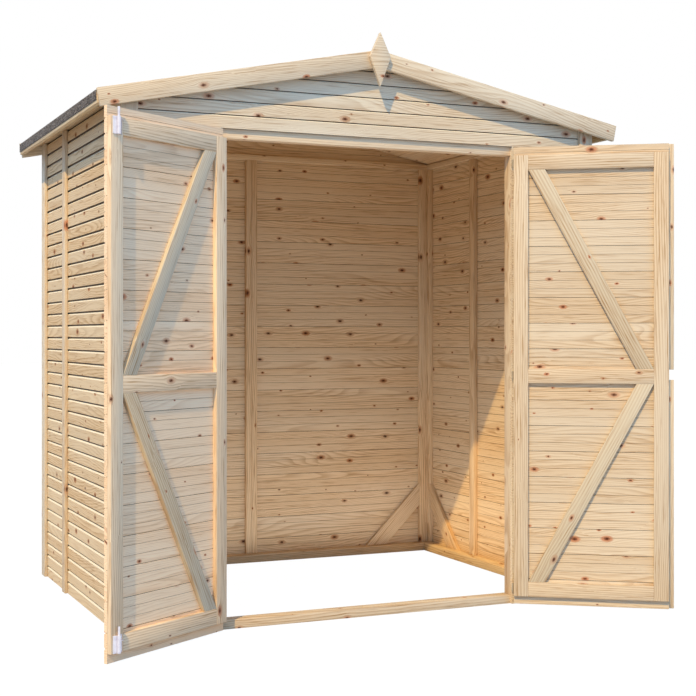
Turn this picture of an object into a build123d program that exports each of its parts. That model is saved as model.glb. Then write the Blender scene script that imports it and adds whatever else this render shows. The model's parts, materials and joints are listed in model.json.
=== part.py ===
"""Wooden garden shed: an apex shed with double doors and an open base.

The two leaves are modelled standing open, which is where their hinges are at zero.
Millimetres. +X is to the right seen from the front, +Y to the back, +Z up.
The origin is on the ground in the middle of the doorway, under the centre of the sill.
"""

import os
from math import cos, radians, sin, tan

from build123d import *

# ---------------------------------------------------------------- walls
shell_width = 1800.0  # over the boards of the side walls
shell_depth = 1310.0  # over the boards of the front and back walls
board_thickness = 12.0
eave_height = 1791.0  # roof underside over the outer face of a side wall
roof_pitch = 11.6  # degrees

batten_width = 40.0
batten_depth = 20.0
seam_batten_width = 25.0
seam_batten_gap = 1.0
seam_from_front = 855.0  # centre of the batten behind the side wall's seam

bottom_plate_height = 34.0
bottom_plate_depth = 54.0
top_plate_height = 24.0

corner_brace_width = 70.0
corner_brace_thickness = 18.0
corner_brace_reach = 172.0  # from the post to the near side of the brace's foot

trim_thickness = 12.0
corner_trim_width = 57.0
side_trim_width = 50.0
seam_trim_from_front = 890.0

# ---------------------------------------------------------------- doorway
doorway_width = 1134.0
sill_height = 30.0
sill_depth = 54.0
gable_board_drop = 94.0  # from the eaves to the gable boards' lower edge
header_reveal = 32.0  # how much of the header shows below the gable boards
header_height = 70.0
door_post_width = 40.0
door_post_depth = 44.0

# ---------------------------------------------------------------- door leaves
running_gap = 5.0
meeting_gap = 6.0
leaf_proud = 5.0  # how far a closed leaf stands in front of the wall boards
leaf_rest_angle = 147.0  # degrees open, left leaf
right_leaf_rest_angle = 145.2  # degrees open, right leaf
leaf_frame_thickness = 16.0
leaf_frame_width = 54.0
leaf_bottom = 5.0

# ---------------------------------------------------------------- meeting strip
strip_thickness = 17.0
strip_rebate = 5.0
strip_seat = 22.0
strip_lap = 18.0
strip_notch_height = 37.0
strip_notch_rise = 6.0  # centre of the notch above the middle rail's centre

# ---------------------------------------------------------------- hinges
knuckle_radius = 3.6
knuckle_height = 10.0
knuckle_gap = 0.5
hinge_pin_radius = 1.9
hinge_pin_clearance = 0.08
hinge_plate_thickness = 2.0
hinge_plate_width = 32.0
hinge_strap_length = 260.0
hinge_strap_root = 34.0
hinge_strap_tip = 16.0

# ---------------------------------------------------------------- shoot bolts
bolt_rod_radius = 4.0
bolt_rod_length = 82.0
bolt_rod_clearance = 0.15
bolt_plate_width = 40.0
bolt_plate_height = 54.0
bolt_plate_thickness = 2.0
bolt_guide_wall = 2.5
bolt_knob_radius = 2.5
bolt_knob_length = 13.0
bolt_knob_from_inner_end = 44.0
bolt_travel = 30.0
bolt_throw = 24.0  # how far the upper rod, which stands shot, reaches into the header
bolt_seat = 1.0  # gap between a rod and its plate
bolt_hole_clearance = 2.0

# ---------------------------------------------------------------- roof
roof_board_thickness = 16.0
roof_side_overhang = 97.0
roof_end_overhang = 30.0  # roof boards past the front and back wall boards
felt_thickness = 3.0
felt_drop = 31.0
eave_batten_width = 16.0
eave_batten_height = 24.5
barge_width = 60.0
barge_thickness = 16.0
barge_rise = 23.5  # top edge above the roof underside, measured upright
barge_length_over_roof = 2.0
barge_mitre_gap = 1.0
finial_width = 80.0
finial_thickness = 16.0
finial_rise = 63.0  # tip above the felt at the ridge
finial_shoulder_drop = 86.0  # widest point below the tip
finial_length = 189.0

# ---------------------------------------------------------------- worked out
half_width = shell_width / 2
half_depth = shell_depth / 2
inner_half_width = half_width - board_thickness
inner_half_depth = half_depth - board_thickness
front_y = -board_thickness - sill_depth / 2
back_y = front_y + shell_depth
middle_y = front_y + half_depth
pitch_slope = tan(radians(roof_pitch))
ridge_underside = eave_height + half_width * pitch_slope
gable_board_bottom = eave_height - gable_board_drop
header_bottom = gable_board_bottom - header_reveal
door_post_face = doorway_width / 2
leaf_thickness = board_thickness + leaf_frame_thickness
leaf_width = door_post_face - running_gap - meeting_gap / 2
leaf_top = gable_board_bottom - running_gap
frame_bottom = sill_height + running_gap
frame_top = header_bottom - running_gap
middle_rail_centre = (frame_bottom + frame_top) / 2
top_plate_top = eave_height + board_thickness * pitch_slope
top_plate_bottom = top_plate_top - top_plate_height
batten_height = top_plate_bottom - bottom_plate_height
roof_edge = half_width + roof_side_overhang


def roof_underside(x):
    """Height of the roof boards' underside at a distance x from the ridge."""
    return ridge_underside - abs(x) * pitch_slope


front_face = Plane(origin=(0, front_y, 0), x_dir=(1, 0, 0), z_dir=(0, -1, 0))
back_face = Plane(origin=(0, back_y, 0), x_dir=(-1, 0, 0), z_dir=(0, 1, 0))
left_face = Plane(origin=(-half_width, middle_y, 0), x_dir=(0, -1, 0), z_dir=(-1, 0, 0))
across_middle = Plane.XZ.offset(-middle_y)
front_lining = front_face.offset(-board_thickness)
back_lining = back_face.offset(-board_thickness)
left_lining = left_face.offset(-board_thickness)

os.makedirs("parts", exist_ok=True)


def save(part, name):
    """Label a finished piece and write it to its own file."""
    part.label = name
    export_step(part, f"parts/{name}.step")


# ================================================================ wall boards
with BuildPart() as left_wall_boards:
    with BuildSketch(left_face):
        Rectangle(2 * inner_half_depth, eave_height, align=(Align.CENTER, Align.MIN))
    extrude(amount=-board_thickness)
save(left_wall_boards.part, "left_wall_boards")

with BuildPart() as right_wall_boards:
    mirror(left_wall_boards.part, about=Plane.YZ)
save(right_wall_boards.part, "right_wall_boards")

with BuildPart() as back_wall_boards:
    with BuildSketch(back_face):
        with BuildLine():
            Polyline(
                (-half_width, 0),
                (half_width, 0),
                (half_width, eave_height),
                (0, ridge_underside),
                (-half_width, eave_height),
                close=True,
            )
        make_face()
    extrude(amount=-board_thickness)
save(back_wall_boards.part, "back_wall_boards")

side_board_width = half_width - door_post_face
side_board_centre = half_width - side_board_width / 2
with BuildPart() as front_side_boards:
    with BuildSketch(front_face):
        with Locations((-side_board_centre, 0), (side_board_centre, 0)):
            Rectangle(side_board_width, gable_board_bottom, align=(Align.CENTER, Align.MIN))
    extrude(amount=-board_thickness)
save(front_side_boards.part, "front_side_boards")

with BuildPart() as front_gable_boards:
    with BuildSketch(front_face):
        with BuildLine():
            Polyline(
                (-half_width, gable_board_bottom),
                (half_width, gable_board_bottom),
                (half_width, eave_height),
                (0, ridge_underside),
                (-half_width, eave_height),
                close=True,
            )
        make_face()
    extrude(amount=-board_thickness)
save(front_gable_boards.part, "front_gable_boards")

# ================================================================ wall frames
seam_batten_y = seam_from_front - half_depth
end_batten_y = inner_half_depth - batten_width / 2
with BuildPart() as left_battens:
    with BuildSketch(left_lining):
        with Locations(
            (-end_batten_y, bottom_plate_height),
            (-seam_batten_y, bottom_plate_height),
            (end_batten_y, bottom_plate_height),
        ):
            Rectangle(batten_width, batten_height, align=(Align.CENTER, Align.MIN))
    extrude(amount=-batten_depth)
with BuildPart() as side_wall_battens:
    add(left_battens.part)
    mirror(left_battens.part, about=Plane.YZ)
save(side_wall_battens.part, "side_wall_battens")

corner_batten_x = inner_half_width - batten_depth - batten_width / 2
with BuildPart() as corner_battens:
    for lining in (front_lining, back_lining):
        with BuildSketch(lining):
            with Locations((-corner_batten_x, bottom_plate_height), (corner_batten_x, bottom_plate_height)):
                Rectangle(batten_width, batten_height, align=(Align.CENTER, Align.MIN))
        extrude(amount=-batten_depth)
save(corner_battens.part, "corner_battens")

seam_batten_x = (seam_batten_width + seam_batten_gap) / 2
with BuildPart() as back_seam_battens:
    with BuildSketch(back_lining):
        with Locations((-seam_batten_x, bottom_plate_height), (seam_batten_x, bottom_plate_height)):
            Rectangle(seam_batten_width, batten_height, align=(Align.CENTER, Align.MIN))
    extrude(amount=-batten_depth)
save(back_seam_battens.part, "back_seam_battens")

with BuildPart() as left_bottom_plate:
    with BuildSketch(left_lining):
        Rectangle(2 * inner_half_depth, bottom_plate_height, align=(Align.CENTER, Align.MIN))
    extrude(amount=-bottom_plate_depth)
with BuildPart() as side_bottom_plates:
    add(left_bottom_plate.part)
    mirror(left_bottom_plate.part, about=Plane.YZ)
save(side_bottom_plates.part, "side_bottom_plates")

cross_plate_length = 2 * (inner_half_width - bottom_plate_depth)
with BuildPart() as back_bottom_plate:
    with BuildSketch(back_lining):
        Rectangle(cross_plate_length, bottom_plate_height, align=(Align.CENTER, Align.MIN))
    extrude(amount=-bottom_plate_depth)
save(back_bottom_plate.part, "back_bottom_plate")

with BuildPart() as left_top_plate:
    with BuildSketch(left_lining):
        with Locations((0, top_plate_bottom)):
            Rectangle(2 * inner_half_depth, top_plate_height, align=(Align.CENTER, Align.MIN))
    extrude(amount=-batten_depth)
with BuildPart() as side_top_plates:
    add(left_top_plate.part)
    mirror(left_top_plate.part, about=Plane.YZ)
save(side_top_plates.part, "side_top_plates")

with BuildPart() as gable_top_plates:
    for lining in (front_lining, back_lining):
        with BuildSketch(lining):
            with Locations((0, top_plate_bottom)):
                Rectangle(
                    2 * (inner_half_width - batten_depth),
                    top_plate_height,
                    align=(Align.CENTER, Align.MIN),
                )
        extrude(amount=-batten_depth)
save(gable_top_plates.part, "gable_top_plates")

# ================================================================ doorway
leaf_centre_x = door_post_face - running_gap - leaf_width + leaf_frame_width / 2
bolt_axis_height = bolt_plate_thickness + bolt_seat + bolt_rod_radius
bolt_axis_inset = leaf_thickness - leaf_proud + bolt_axis_height
bolt_hole_radius = bolt_rod_radius + bolt_hole_clearance
with BuildPart() as door_sill:
    with BuildSketch(front_lining):
        Rectangle(cross_plate_length, sill_height, align=(Align.CENTER, Align.MIN))
    extrude(amount=-sill_depth)
    with Locations((-leaf_centre_x, bolt_axis_inset + front_y, sill_height)):
        Hole(bolt_hole_radius)
save(door_sill.part, "door_sill")

with BuildPart() as door_posts:
    with BuildSketch(front_lining):
        with Locations(
            (-door_post_face - door_post_width / 2, sill_height),
            (door_post_face + door_post_width / 2, sill_height),
        ):
            Rectangle(door_post_width, header_bottom - sill_height, align=(Align.CENTER, Align.MIN))
    extrude(amount=-door_post_depth)
save(door_posts.part, "door_posts")

with BuildPart() as door_header:
    with BuildSketch(front_lining):
        with Locations((0, header_bottom)):
            Rectangle(
                2 * (door_post_face + door_post_width),
                header_height,
                align=(Align.CENTER, Align.MIN),
            )
    extrude(amount=-door_post_depth)
    with Locations((-leaf_centre_x, bolt_axis_inset + front_y, header_bottom)):
        Hole(bolt_hole_radius)
save(door_header.part, "door_header")

# ================================================================ corner braces
brace_foot = corner_brace_width / sin(radians(45))
brace_far = corner_brace_reach + brace_foot


def corner_brace_corners(post_face, side):
    """Corners of a 45 degree brace from a corner post's inner face to the bottom plate."""
    return (
        (side * (post_face - corner_brace_reach), bottom_plate_height),
        (side * (post_face - brace_far), bottom_plate_height),
        (side * post_face, bottom_plate_height + brace_far),
        (side * post_face, bottom_plate_height + corner_brace_reach),
    )


back_post_face = inner_half_width - batten_depth - batten_width
with BuildPart() as back_wall_braces:
    with BuildSketch(back_lining):
        for side in (-1, 1):
            with BuildLine():
                Polyline(*corner_brace_corners(back_post_face, side), close=True)
            make_face()
    extrude(amount=-corner_brace_thickness)
save(back_wall_braces.part, "back_wall_braces")

side_post_face = inner_half_depth - batten_width
with BuildPart() as left_wall_brace:
    with BuildSketch(left_lining):
        with BuildLine():
            Polyline(*corner_brace_corners(side_post_face, -1), close=True)
        make_face()
    extrude(amount=-corner_brace_thickness)
with BuildPart() as side_wall_braces:
    add(left_wall_brace.part)
    mirror(left_wall_brace.part, about=Plane.YZ)
save(side_wall_braces.part, "side_wall_braces")

# ================================================================ outer trims
trim_outer = half_width + trim_thickness
corner_trim_inner = trim_outer - corner_trim_width
with BuildPart() as front_corner_trims:
    with BuildSketch(front_face):
        for side in (-1, 1):
            with BuildLine():
                Polyline(
                    (side * corner_trim_inner, 0),
                    (side * trim_outer, 0),
                    (side * trim_outer, roof_underside(trim_outer)),
                    (side * corner_trim_inner, roof_underside(corner_trim_inner)),
                    close=True,
                )
            make_face()
    extrude(amount=trim_thickness)
save(front_corner_trims.part, "front_corner_trims")

with BuildPart() as back_corner_trims:
    mirror(front_corner_trims.part, about=across_middle)
save(back_corner_trims.part, "back_corner_trims")

side_trim_centre = half_depth - side_trim_width / 2
seam_trim_y = seam_trim_from_front - half_depth
with BuildPart() as left_trims:
    with BuildSketch(left_face):
        with Locations((-side_trim_centre, 0), (-seam_trim_y, 0), (side_trim_centre, 0)):
            Rectangle(side_trim_width, roof_underside(trim_outer), align=(Align.CENTER, Align.MIN))
    extrude(amount=trim_thickness)
with BuildPart() as side_wall_trims:
    add(left_trims.part)
    mirror(left_trims.part, about=Plane.YZ)
save(side_wall_trims.part, "side_wall_trims")

# ================================================================ roof
roof_half_length = half_depth + roof_end_overhang
board_rise = roof_board_thickness / cos(radians(roof_pitch))
felt_rise = felt_thickness / cos(radians(roof_pitch))
ridge_top = ridge_underside + board_rise + felt_rise
with BuildPart() as left_roof_boards:
    with BuildSketch(across_middle):
        with BuildLine():
            Polyline(
                (0, ridge_underside),
                (-roof_edge, roof_underside(roof_edge)),
                (-roof_edge, roof_underside(roof_edge) + board_rise),
                (0, ridge_underside + board_rise),
                close=True,
            )
        make_face()
    extrude(amount=roof_half_length, both=True)
save(left_roof_boards.part, "left_roof_boards")

with BuildPart() as right_roof_boards:
    mirror(left_roof_boards.part, about=Plane.YZ)
save(right_roof_boards.part, "right_roof_boards")

felt_edge = roof_edge + felt_thickness
with BuildPart() as left_roof_felt:
    with BuildSketch(across_middle):
        with BuildLine():
            Polyline(
                (0, ridge_underside + board_rise),
                (-roof_edge, roof_underside(roof_edge) + board_rise),
                (-roof_edge, roof_underside(roof_edge) + board_rise - felt_drop),
                (-felt_edge, roof_underside(roof_edge) + board_rise - felt_drop),
                (-felt_edge, roof_underside(felt_edge) + board_rise + felt_rise),
                (0, ridge_top),
                close=True,
            )
        make_face()
    extrude(amount=roof_half_length, both=True)
save(left_roof_felt.part, "left_roof_felt")

with BuildPart() as right_roof_felt:
    mirror(left_roof_felt.part, about=Plane.YZ)
save(right_roof_felt.part, "right_roof_felt")

eave_batten_inner = roof_edge - eave_batten_width
with BuildPart() as left_eave_batten:
    with BuildSketch(across_middle):
        with BuildLine():
            Polyline(
                (-roof_edge, roof_underside(roof_edge)),
                (-roof_edge, roof_underside(roof_edge) - eave_batten_height),
                (-eave_batten_inner, roof_underside(roof_edge) - eave_batten_height),
                (-eave_batten_inner, roof_underside(eave_batten_inner)),
                close=True,
            )
        make_face()
    extrude(amount=roof_half_length, both=True)
with BuildPart() as eave_battens:
    add(left_eave_batten.part)
    mirror(left_eave_batten.part, about=Plane.YZ)
save(eave_battens.part, "eave_battens")

# barge boards: a sloping board with square-cut ends, mitred at the ridge
barge_plane = front_face.offset(roof_end_overhang)
barge_drop = barge_width / cos(radians(roof_pitch)) - barge_rise
barge_end_top = roof_edge + barge_length_over_roof
barge_end_bottom = barge_end_top - barge_width * sin(radians(roof_pitch))
barge_mitre = barge_mitre_gap / 2
with BuildPart() as front_left_barge_board:
    with BuildSketch(barge_plane):
        with BuildLine():
            Polyline(
                (-barge_mitre, roof_underside(barge_mitre) + barge_rise),
                (-barge_end_top, roof_underside(barge_end_top) + barge_rise),
                (-barge_end_bottom, roof_underside(barge_end_bottom) - barge_drop),
                (-barge_mitre, roof_underside(barge_mitre) - barge_drop),
                close=True,
            )
        make_face()
    extrude(amount=barge_thickness)
with BuildPart() as front_barge_boards:
    add(front_left_barge_board.part)
    mirror(front_left_barge_board.part, about=Plane.YZ)
save(front_barge_boards.part, "front_barge_boards")

with BuildPart() as back_barge_boards:
    mirror(front_barge_boards.part, about=across_middle)
save(back_barge_boards.part, "back_barge_boards")

finial_top = ridge_top + finial_rise
finial_shoulder = finial_top - finial_shoulder_drop
finial_bottom = finial_top - finial_length
with BuildPart() as front_finial:
    with BuildSketch(barge_plane.offset(barge_thickness)):
        with BuildLine():
            Polyline(
                (0, finial_top),
                (-finial_width / 2, finial_shoulder),
                (0, finial_bottom),
                (finial_width / 2, finial_shoulder),
                close=True,
            )
        make_face()
    extrude(amount=finial_thickness)
save(front_finial.part, "front_finial")

with BuildPart() as back_finial:
    mirror(front_finial.part, about=across_middle)
save(back_finial.part, "back_finial")

# ================================================================ door leaves
# A leaf is drawn on its own outer face: x runs from the hinge pin to the free edge,
# y is up and z points out of the shed. The right leaf is the left one's mirror image.
leaf_direction = (cos(radians(leaf_rest_angle)), -sin(radians(leaf_rest_angle)), 0)
leaf_outward = (-sin(radians(leaf_rest_angle)), -cos(radians(leaf_rest_angle)), 0)
hinge_pin = (-door_post_face, front_y - leaf_proud, 0)
leaf_outer = Plane(origin=hinge_pin, x_dir=leaf_direction, z_dir=leaf_outward)
leaf_back = leaf_outer.offset(-board_thickness)
leaf_inner = leaf_back.offset(-leaf_frame_thickness)
leaf_start = running_gap
leaf_end = leaf_start + leaf_width
stile_inner_start = leaf_start + leaf_frame_width
stile_inner_end = leaf_end - leaf_frame_width
rail_length = stile_inner_end - stile_inner_start
rail_centre_x = (stile_inner_start + stile_inner_end) / 2
rail_heights = (
    frame_bottom + leaf_frame_width / 2,
    middle_rail_centre,
    frame_top - leaf_frame_width / 2,
)

with BuildPart() as left_door_boards:
    with BuildSketch(leaf_outer):
        with Locations((leaf_start, leaf_bottom)):
            Rectangle(leaf_width, leaf_top - leaf_bottom, align=(Align.MIN, Align.MIN))
    extrude(amount=-board_thickness)
save(left_door_boards.part, "left_door_boards")

with BuildPart() as left_door_stiles:
    with BuildSketch(leaf_back):
        with Locations((leaf_start, frame_bottom), (stile_inner_end, frame_bottom)):
            Rectangle(leaf_frame_width, frame_top - frame_bottom, align=(Align.MIN, Align.MIN))
    extrude(amount=-leaf_frame_thickness)
save(left_door_stiles.part, "left_door_stiles")

with BuildPart() as left_door_rails:
    with BuildSketch(leaf_back):
        with Locations([(rail_centre_x, height) for height in rail_heights]):
            Rectangle(rail_length, leaf_frame_width)
    extrude(amount=-leaf_frame_thickness)
save(left_door_rails.part, "left_door_rails")

# The braces run from the hinge stile's corners to the middle rail at the free stile.
low_rail_top = rail_heights[0] + leaf_frame_width / 2
middle_rail_bottom = middle_rail_centre - leaf_frame_width / 2
middle_rail_top = middle_rail_centre + leaf_frame_width / 2
high_rail_bottom = rail_heights[2] - leaf_frame_width / 2


def brace_foot_width(rise):
    """Level width of a brace of the frame's timber whose feet fill opposite corners."""
    foot = leaf_frame_width
    for _ in range(12):
        run = rail_length - foot
        foot = leaf_frame_width * (rise**2 + run**2) ** 0.5 / rise
    return foot


upper_foot = brace_foot_width(high_rail_bottom - middle_rail_top)
lower_foot = brace_foot_width(middle_rail_bottom - low_rail_top)
with BuildPart() as left_door_braces:
    with BuildSketch(leaf_back):
        with BuildLine():
            Polyline(
                (stile_inner_start, high_rail_bottom),
                (stile_inner_start + upper_foot, high_rail_bottom),
                (stile_inner_end, middle_rail_top),
                (stile_inner_end - upper_foot, middle_rail_top),
                close=True,
            )
        make_face()
        with BuildLine():
            Polyline(
                (stile_inner_start, low_rail_top),
                (stile_inner_start + lower_foot, low_rail_top),
                (stile_inner_end, middle_rail_bottom),
                (stile_inner_end - lower_foot, middle_rail_bottom),
                close=True,
            )
        make_face()
    extrude(amount=-leaf_frame_thickness)
save(left_door_braces.part, "left_door_braces")

# ================================================================ hinges
# Three tee hinges a leaf. The wall plate carries the outer knuckles and the pin,
# and the strap on the leaf's outer face carries the middle knuckle.
knuckle_pitch = knuckle_height + knuckle_gap
hinge_height = 3 * knuckle_height + 2 * knuckle_gap
pin_plane = Plane(origin=hinge_pin, x_dir=(1, 0, 0), z_dir=(0, 0, 1))
with BuildPart() as left_hinge_plates:
    for height in rail_heights:
        with BuildSketch(front_face):
            with Locations((-door_post_face, height)):
                Rectangle(hinge_plate_width, hinge_height, align=(Align.MAX, Align.CENTER))
            with Locations((-door_post_face, height)):
                Rectangle(
                    2 * (knuckle_radius + knuckle_gap),
                    knuckle_height + 2 * knuckle_gap,
                    mode=Mode.SUBTRACT,
                )
        extrude(amount=hinge_plate_thickness)
        with BuildSketch(pin_plane.offset(height - hinge_height / 2)):
            Circle(knuckle_radius)
        extrude(amount=knuckle_height)
        with BuildSketch(pin_plane.offset(height + hinge_height / 2 - knuckle_height)):
            Circle(knuckle_radius)
        extrude(amount=knuckle_height)
        with BuildSketch(pin_plane.offset(height - hinge_height / 2)):
            Circle(hinge_pin_radius)
        extrude(amount=hinge_height)
with BuildPart() as hinge_wall_plates:
    add(left_hinge_plates.part)
    mirror(left_hinge_plates.part, about=Plane.YZ)
save(hinge_wall_plates.part, "hinge_wall_plates")

strap_root_x = knuckle_radius + knuckle_gap
with BuildPart() as left_door_straps:
    for height in rail_heights:
        with BuildSketch(leaf_outer):
            with BuildLine():
                Polyline(
                    (0, height - knuckle_height / 2),
                    (strap_root_x, height - knuckle_height / 2),
                    (strap_root_x, height - hinge_strap_root / 2),
                    (hinge_strap_length, height - hinge_strap_tip / 2),
                    (hinge_strap_length, height + hinge_strap_tip / 2),
                    (strap_root_x, height + hinge_strap_root / 2),
                    (strap_root_x, height + knuckle_height / 2),
                    (0, height + knuckle_height / 2),
                    close=True,
                )
            make_face()
        extrude(amount=hinge_plate_thickness)
        with BuildSketch(pin_plane.offset(height - knuckle_height / 2)):
            Circle(knuckle_radius)
        extrude(amount=knuckle_height)
        with BuildSketch(pin_plane.offset(height - knuckle_height / 2)):
            Circle(hinge_pin_radius + hinge_pin_clearance)
        extrude(amount=knuckle_height, mode=Mode.SUBTRACT)
save(left_door_straps.part, "left_door_straps")

# ================================================================ shoot bolts
bolt_x = leaf_end - leaf_frame_width / 2
bolt_guide_radius = bolt_rod_radius + bolt_guide_wall
bolt_axis_plane = Plane(
    origin=leaf_inner.from_local_coords((bolt_x, 0, -bolt_axis_height)),
    x_dir=leaf_direction,
    z_dir=(0, 0, 1),
)
bolt_plate_bottoms = (frame_bottom + bolt_seat, frame_top - bolt_plate_height)
bolt_slot_length = bolt_travel + 2 * (bolt_knob_radius + bolt_seat)
bolt_slot_width = 2 * bolt_knob_radius + bolt_seat
top_rod_bottom = header_bottom + bolt_throw - bolt_rod_length
top_knob_height = top_rod_bottom + bolt_knob_from_inner_end
low_rod_bottom = frame_bottom
low_knob_height = low_rod_bottom + bolt_rod_length - bolt_knob_from_inner_end
bolt_knob_heights = (low_knob_height, top_knob_height)

with BuildPart() as left_door_bolt_guides:
    for plate_bottom, knob_height in zip(bolt_plate_bottoms, bolt_knob_heights):
        with BuildSketch(leaf_inner):
            with Locations((bolt_x, plate_bottom)):
                Rectangle(bolt_plate_width, bolt_plate_height, align=(Align.CENTER, Align.MIN))
        extrude(amount=-bolt_plate_thickness)
        with BuildSketch(bolt_axis_plane.offset(plate_bottom)):
            Circle(bolt_guide_radius)
            Rectangle(2 * bolt_guide_radius, bolt_axis_height, align=(Align.CENTER, Align.MAX))
        extrude(amount=bolt_plate_height)
        with BuildSketch(bolt_axis_plane.offset(plate_bottom)):
            Circle(bolt_rod_radius + bolt_rod_clearance)
        extrude(amount=bolt_plate_height, mode=Mode.SUBTRACT)
        with BuildSketch(leaf_inner.offset(bolt_slot_width / 2 - bolt_axis_height)):
            with Locations((bolt_x, knob_height + bolt_knob_radius + bolt_seat)):
                Rectangle(2 * bolt_guide_radius, bolt_slot_length, align=(Align.MAX, Align.MAX))
        extrude(amount=-bolt_slot_width, mode=Mode.SUBTRACT)
save(left_door_bolt_guides.part, "left_door_bolt_guides")

for name, rod_bottom, knob_height in (
    ("bottom_bolt", low_rod_bottom, low_knob_height),
    ("top_bolt", top_rod_bottom, top_knob_height),
):
    with BuildPart() as bolt:
        with BuildSketch(bolt_axis_plane.offset(rod_bottom)):
            Circle(bolt_rod_radius)
        extrude(amount=bolt_rod_length)
        knob_plane = Plane(
            origin=bolt_axis_plane.offset(knob_height).origin,
            z_dir=tuple(-value for value in leaf_direction),
        )
        with BuildSketch(knob_plane):
            Circle(bolt_knob_radius)
        extrude(amount=bolt_guide_radius + bolt_knob_length)
    save(bolt.part, name)

# ================================================================ right leaf
right_pin_axis = Axis((door_post_face, front_y - leaf_proud, 0), (0, 0, 1))
right_leaf_turn = leaf_rest_angle - right_leaf_rest_angle


def opposite_leaf(piece):
    """Mirror a piece of the left leaf and turn it to the right leaf's own opening."""
    return mirror(piece.part, about=Plane.YZ, mode=Mode.PRIVATE).rotate(right_pin_axis, -right_leaf_turn)


for piece in (left_door_boards, left_door_stiles, left_door_rails, left_door_braces, left_door_straps):
    save(opposite_leaf(piece), piece.part.label.replace("left", "right"))

# The meeting strip laps the other leaf's edge. It is notched beside the middle rail.
strip_notch_low = middle_rail_centre + strip_notch_rise - strip_notch_height / 2
with BuildPart() as strip_pattern:
    with BuildSketch(leaf_outer):
        with Locations((leaf_end - strip_seat, leaf_bottom)):
            Rectangle(strip_seat + strip_lap, leaf_top - leaf_bottom, align=(Align.MIN, Align.MIN))
    extrude(amount=strip_thickness)
    with BuildSketch(leaf_outer):
        with Locations((leaf_end, leaf_bottom)):
            Rectangle(strip_lap, leaf_top - leaf_bottom, align=(Align.MIN, Align.MIN))
    extrude(amount=strip_rebate, mode=Mode.SUBTRACT)
    with BuildSketch(leaf_outer):
        with Locations((leaf_end, strip_notch_low)):
            Rectangle(strip_lap, strip_notch_height, align=(Align.MIN, Align.MIN))
    extrude(amount=strip_thickness, mode=Mode.SUBTRACT)
save(opposite_leaf(strip_pattern), "meeting_strip")
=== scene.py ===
"""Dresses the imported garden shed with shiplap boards, framing, felt, ironmongery and a studio."""

from __future__ import annotations

import json
import logging
from dataclasses import dataclass, field
from enum import Enum
from math import atan2, ceil, cos, hypot, pi, radians
from typing import Callable, Mapping, Optional, Sequence, Union

import bmesh
import bpy
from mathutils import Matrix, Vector

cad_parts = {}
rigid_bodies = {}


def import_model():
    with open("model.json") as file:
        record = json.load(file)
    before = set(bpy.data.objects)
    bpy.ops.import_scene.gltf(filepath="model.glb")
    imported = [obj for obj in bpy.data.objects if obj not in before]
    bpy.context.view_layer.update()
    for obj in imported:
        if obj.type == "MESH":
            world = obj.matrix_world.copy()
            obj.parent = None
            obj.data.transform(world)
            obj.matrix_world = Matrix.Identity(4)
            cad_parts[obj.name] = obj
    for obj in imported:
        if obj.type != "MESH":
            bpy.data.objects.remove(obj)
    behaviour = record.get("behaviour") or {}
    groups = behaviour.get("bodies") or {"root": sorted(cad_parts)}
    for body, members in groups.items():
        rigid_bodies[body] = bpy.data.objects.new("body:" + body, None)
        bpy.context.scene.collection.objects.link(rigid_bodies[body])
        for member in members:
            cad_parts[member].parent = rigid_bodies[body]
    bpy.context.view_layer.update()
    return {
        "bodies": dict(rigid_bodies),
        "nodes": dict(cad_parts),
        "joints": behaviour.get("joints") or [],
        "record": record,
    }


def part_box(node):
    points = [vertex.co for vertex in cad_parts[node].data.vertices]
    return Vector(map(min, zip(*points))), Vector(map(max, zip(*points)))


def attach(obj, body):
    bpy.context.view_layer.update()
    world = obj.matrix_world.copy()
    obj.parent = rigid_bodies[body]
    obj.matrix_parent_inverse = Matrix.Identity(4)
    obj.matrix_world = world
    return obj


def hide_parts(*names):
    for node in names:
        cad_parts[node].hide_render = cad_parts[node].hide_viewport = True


logging.basicConfig(level=logging.INFO, format="%(message)s")
LOG = logging.getLogger("garden_shed")

Colour = tuple[float, float, float]
Triple = tuple[float, float, float]
Range = tuple[float, ...]
Node = bpy.types.Node
Socket = bpy.types.NodeSocket
Material = bpy.types.Material
Piece = bpy.types.Object
Feed = Union[float, Sequence[float], Socket]
Feeds = Mapping[Union[int, str], Feed]
Test = Callable[[Vector, Vector], bool]

NEAR = 0.0001  # places that are this close, in metres, count as one
ALIGNED = 0.9  # cosine from which a direction counts as an axis's own
WHITE: Colour = (1.0, 1.0, 1.0)

# the record's material slots
BOARDING = "pine_boarding"
FRAMING = "pine_framing"
FELT = "roofing_felt"
ZINC = "zinc_plated_steel"


class Side(Enum):
    """A side of the shed, seen from the front, and the sign of x there."""

    LEFT = -1.0
    RIGHT = 1.0

    @property
    def word(self) -> str:
        """The side's word in the names of nodes and pieces."""
        return self.name.lower()


def paint(red: int, green: int, blue: int) -> Colour:
    """Turns a colour as it shows on a screen into the linear values that shaders use.

    Args:
        red: Red, 0 to 255.
        green: Green, 0 to 255.
        blue: Blue, 0 to 255.

    Returns:
        The linear colour.
    """

    def linear(level: int) -> float:
        """Linear value of one channel."""
        share = level / 255
        return share / 12.92 if share <= 0.04045 else ((share + 0.055) / 1.055) ** 2.4

    return linear(red), linear(green), linear(blue)


# ---------------------------------------------------------------- shader desk


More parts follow.
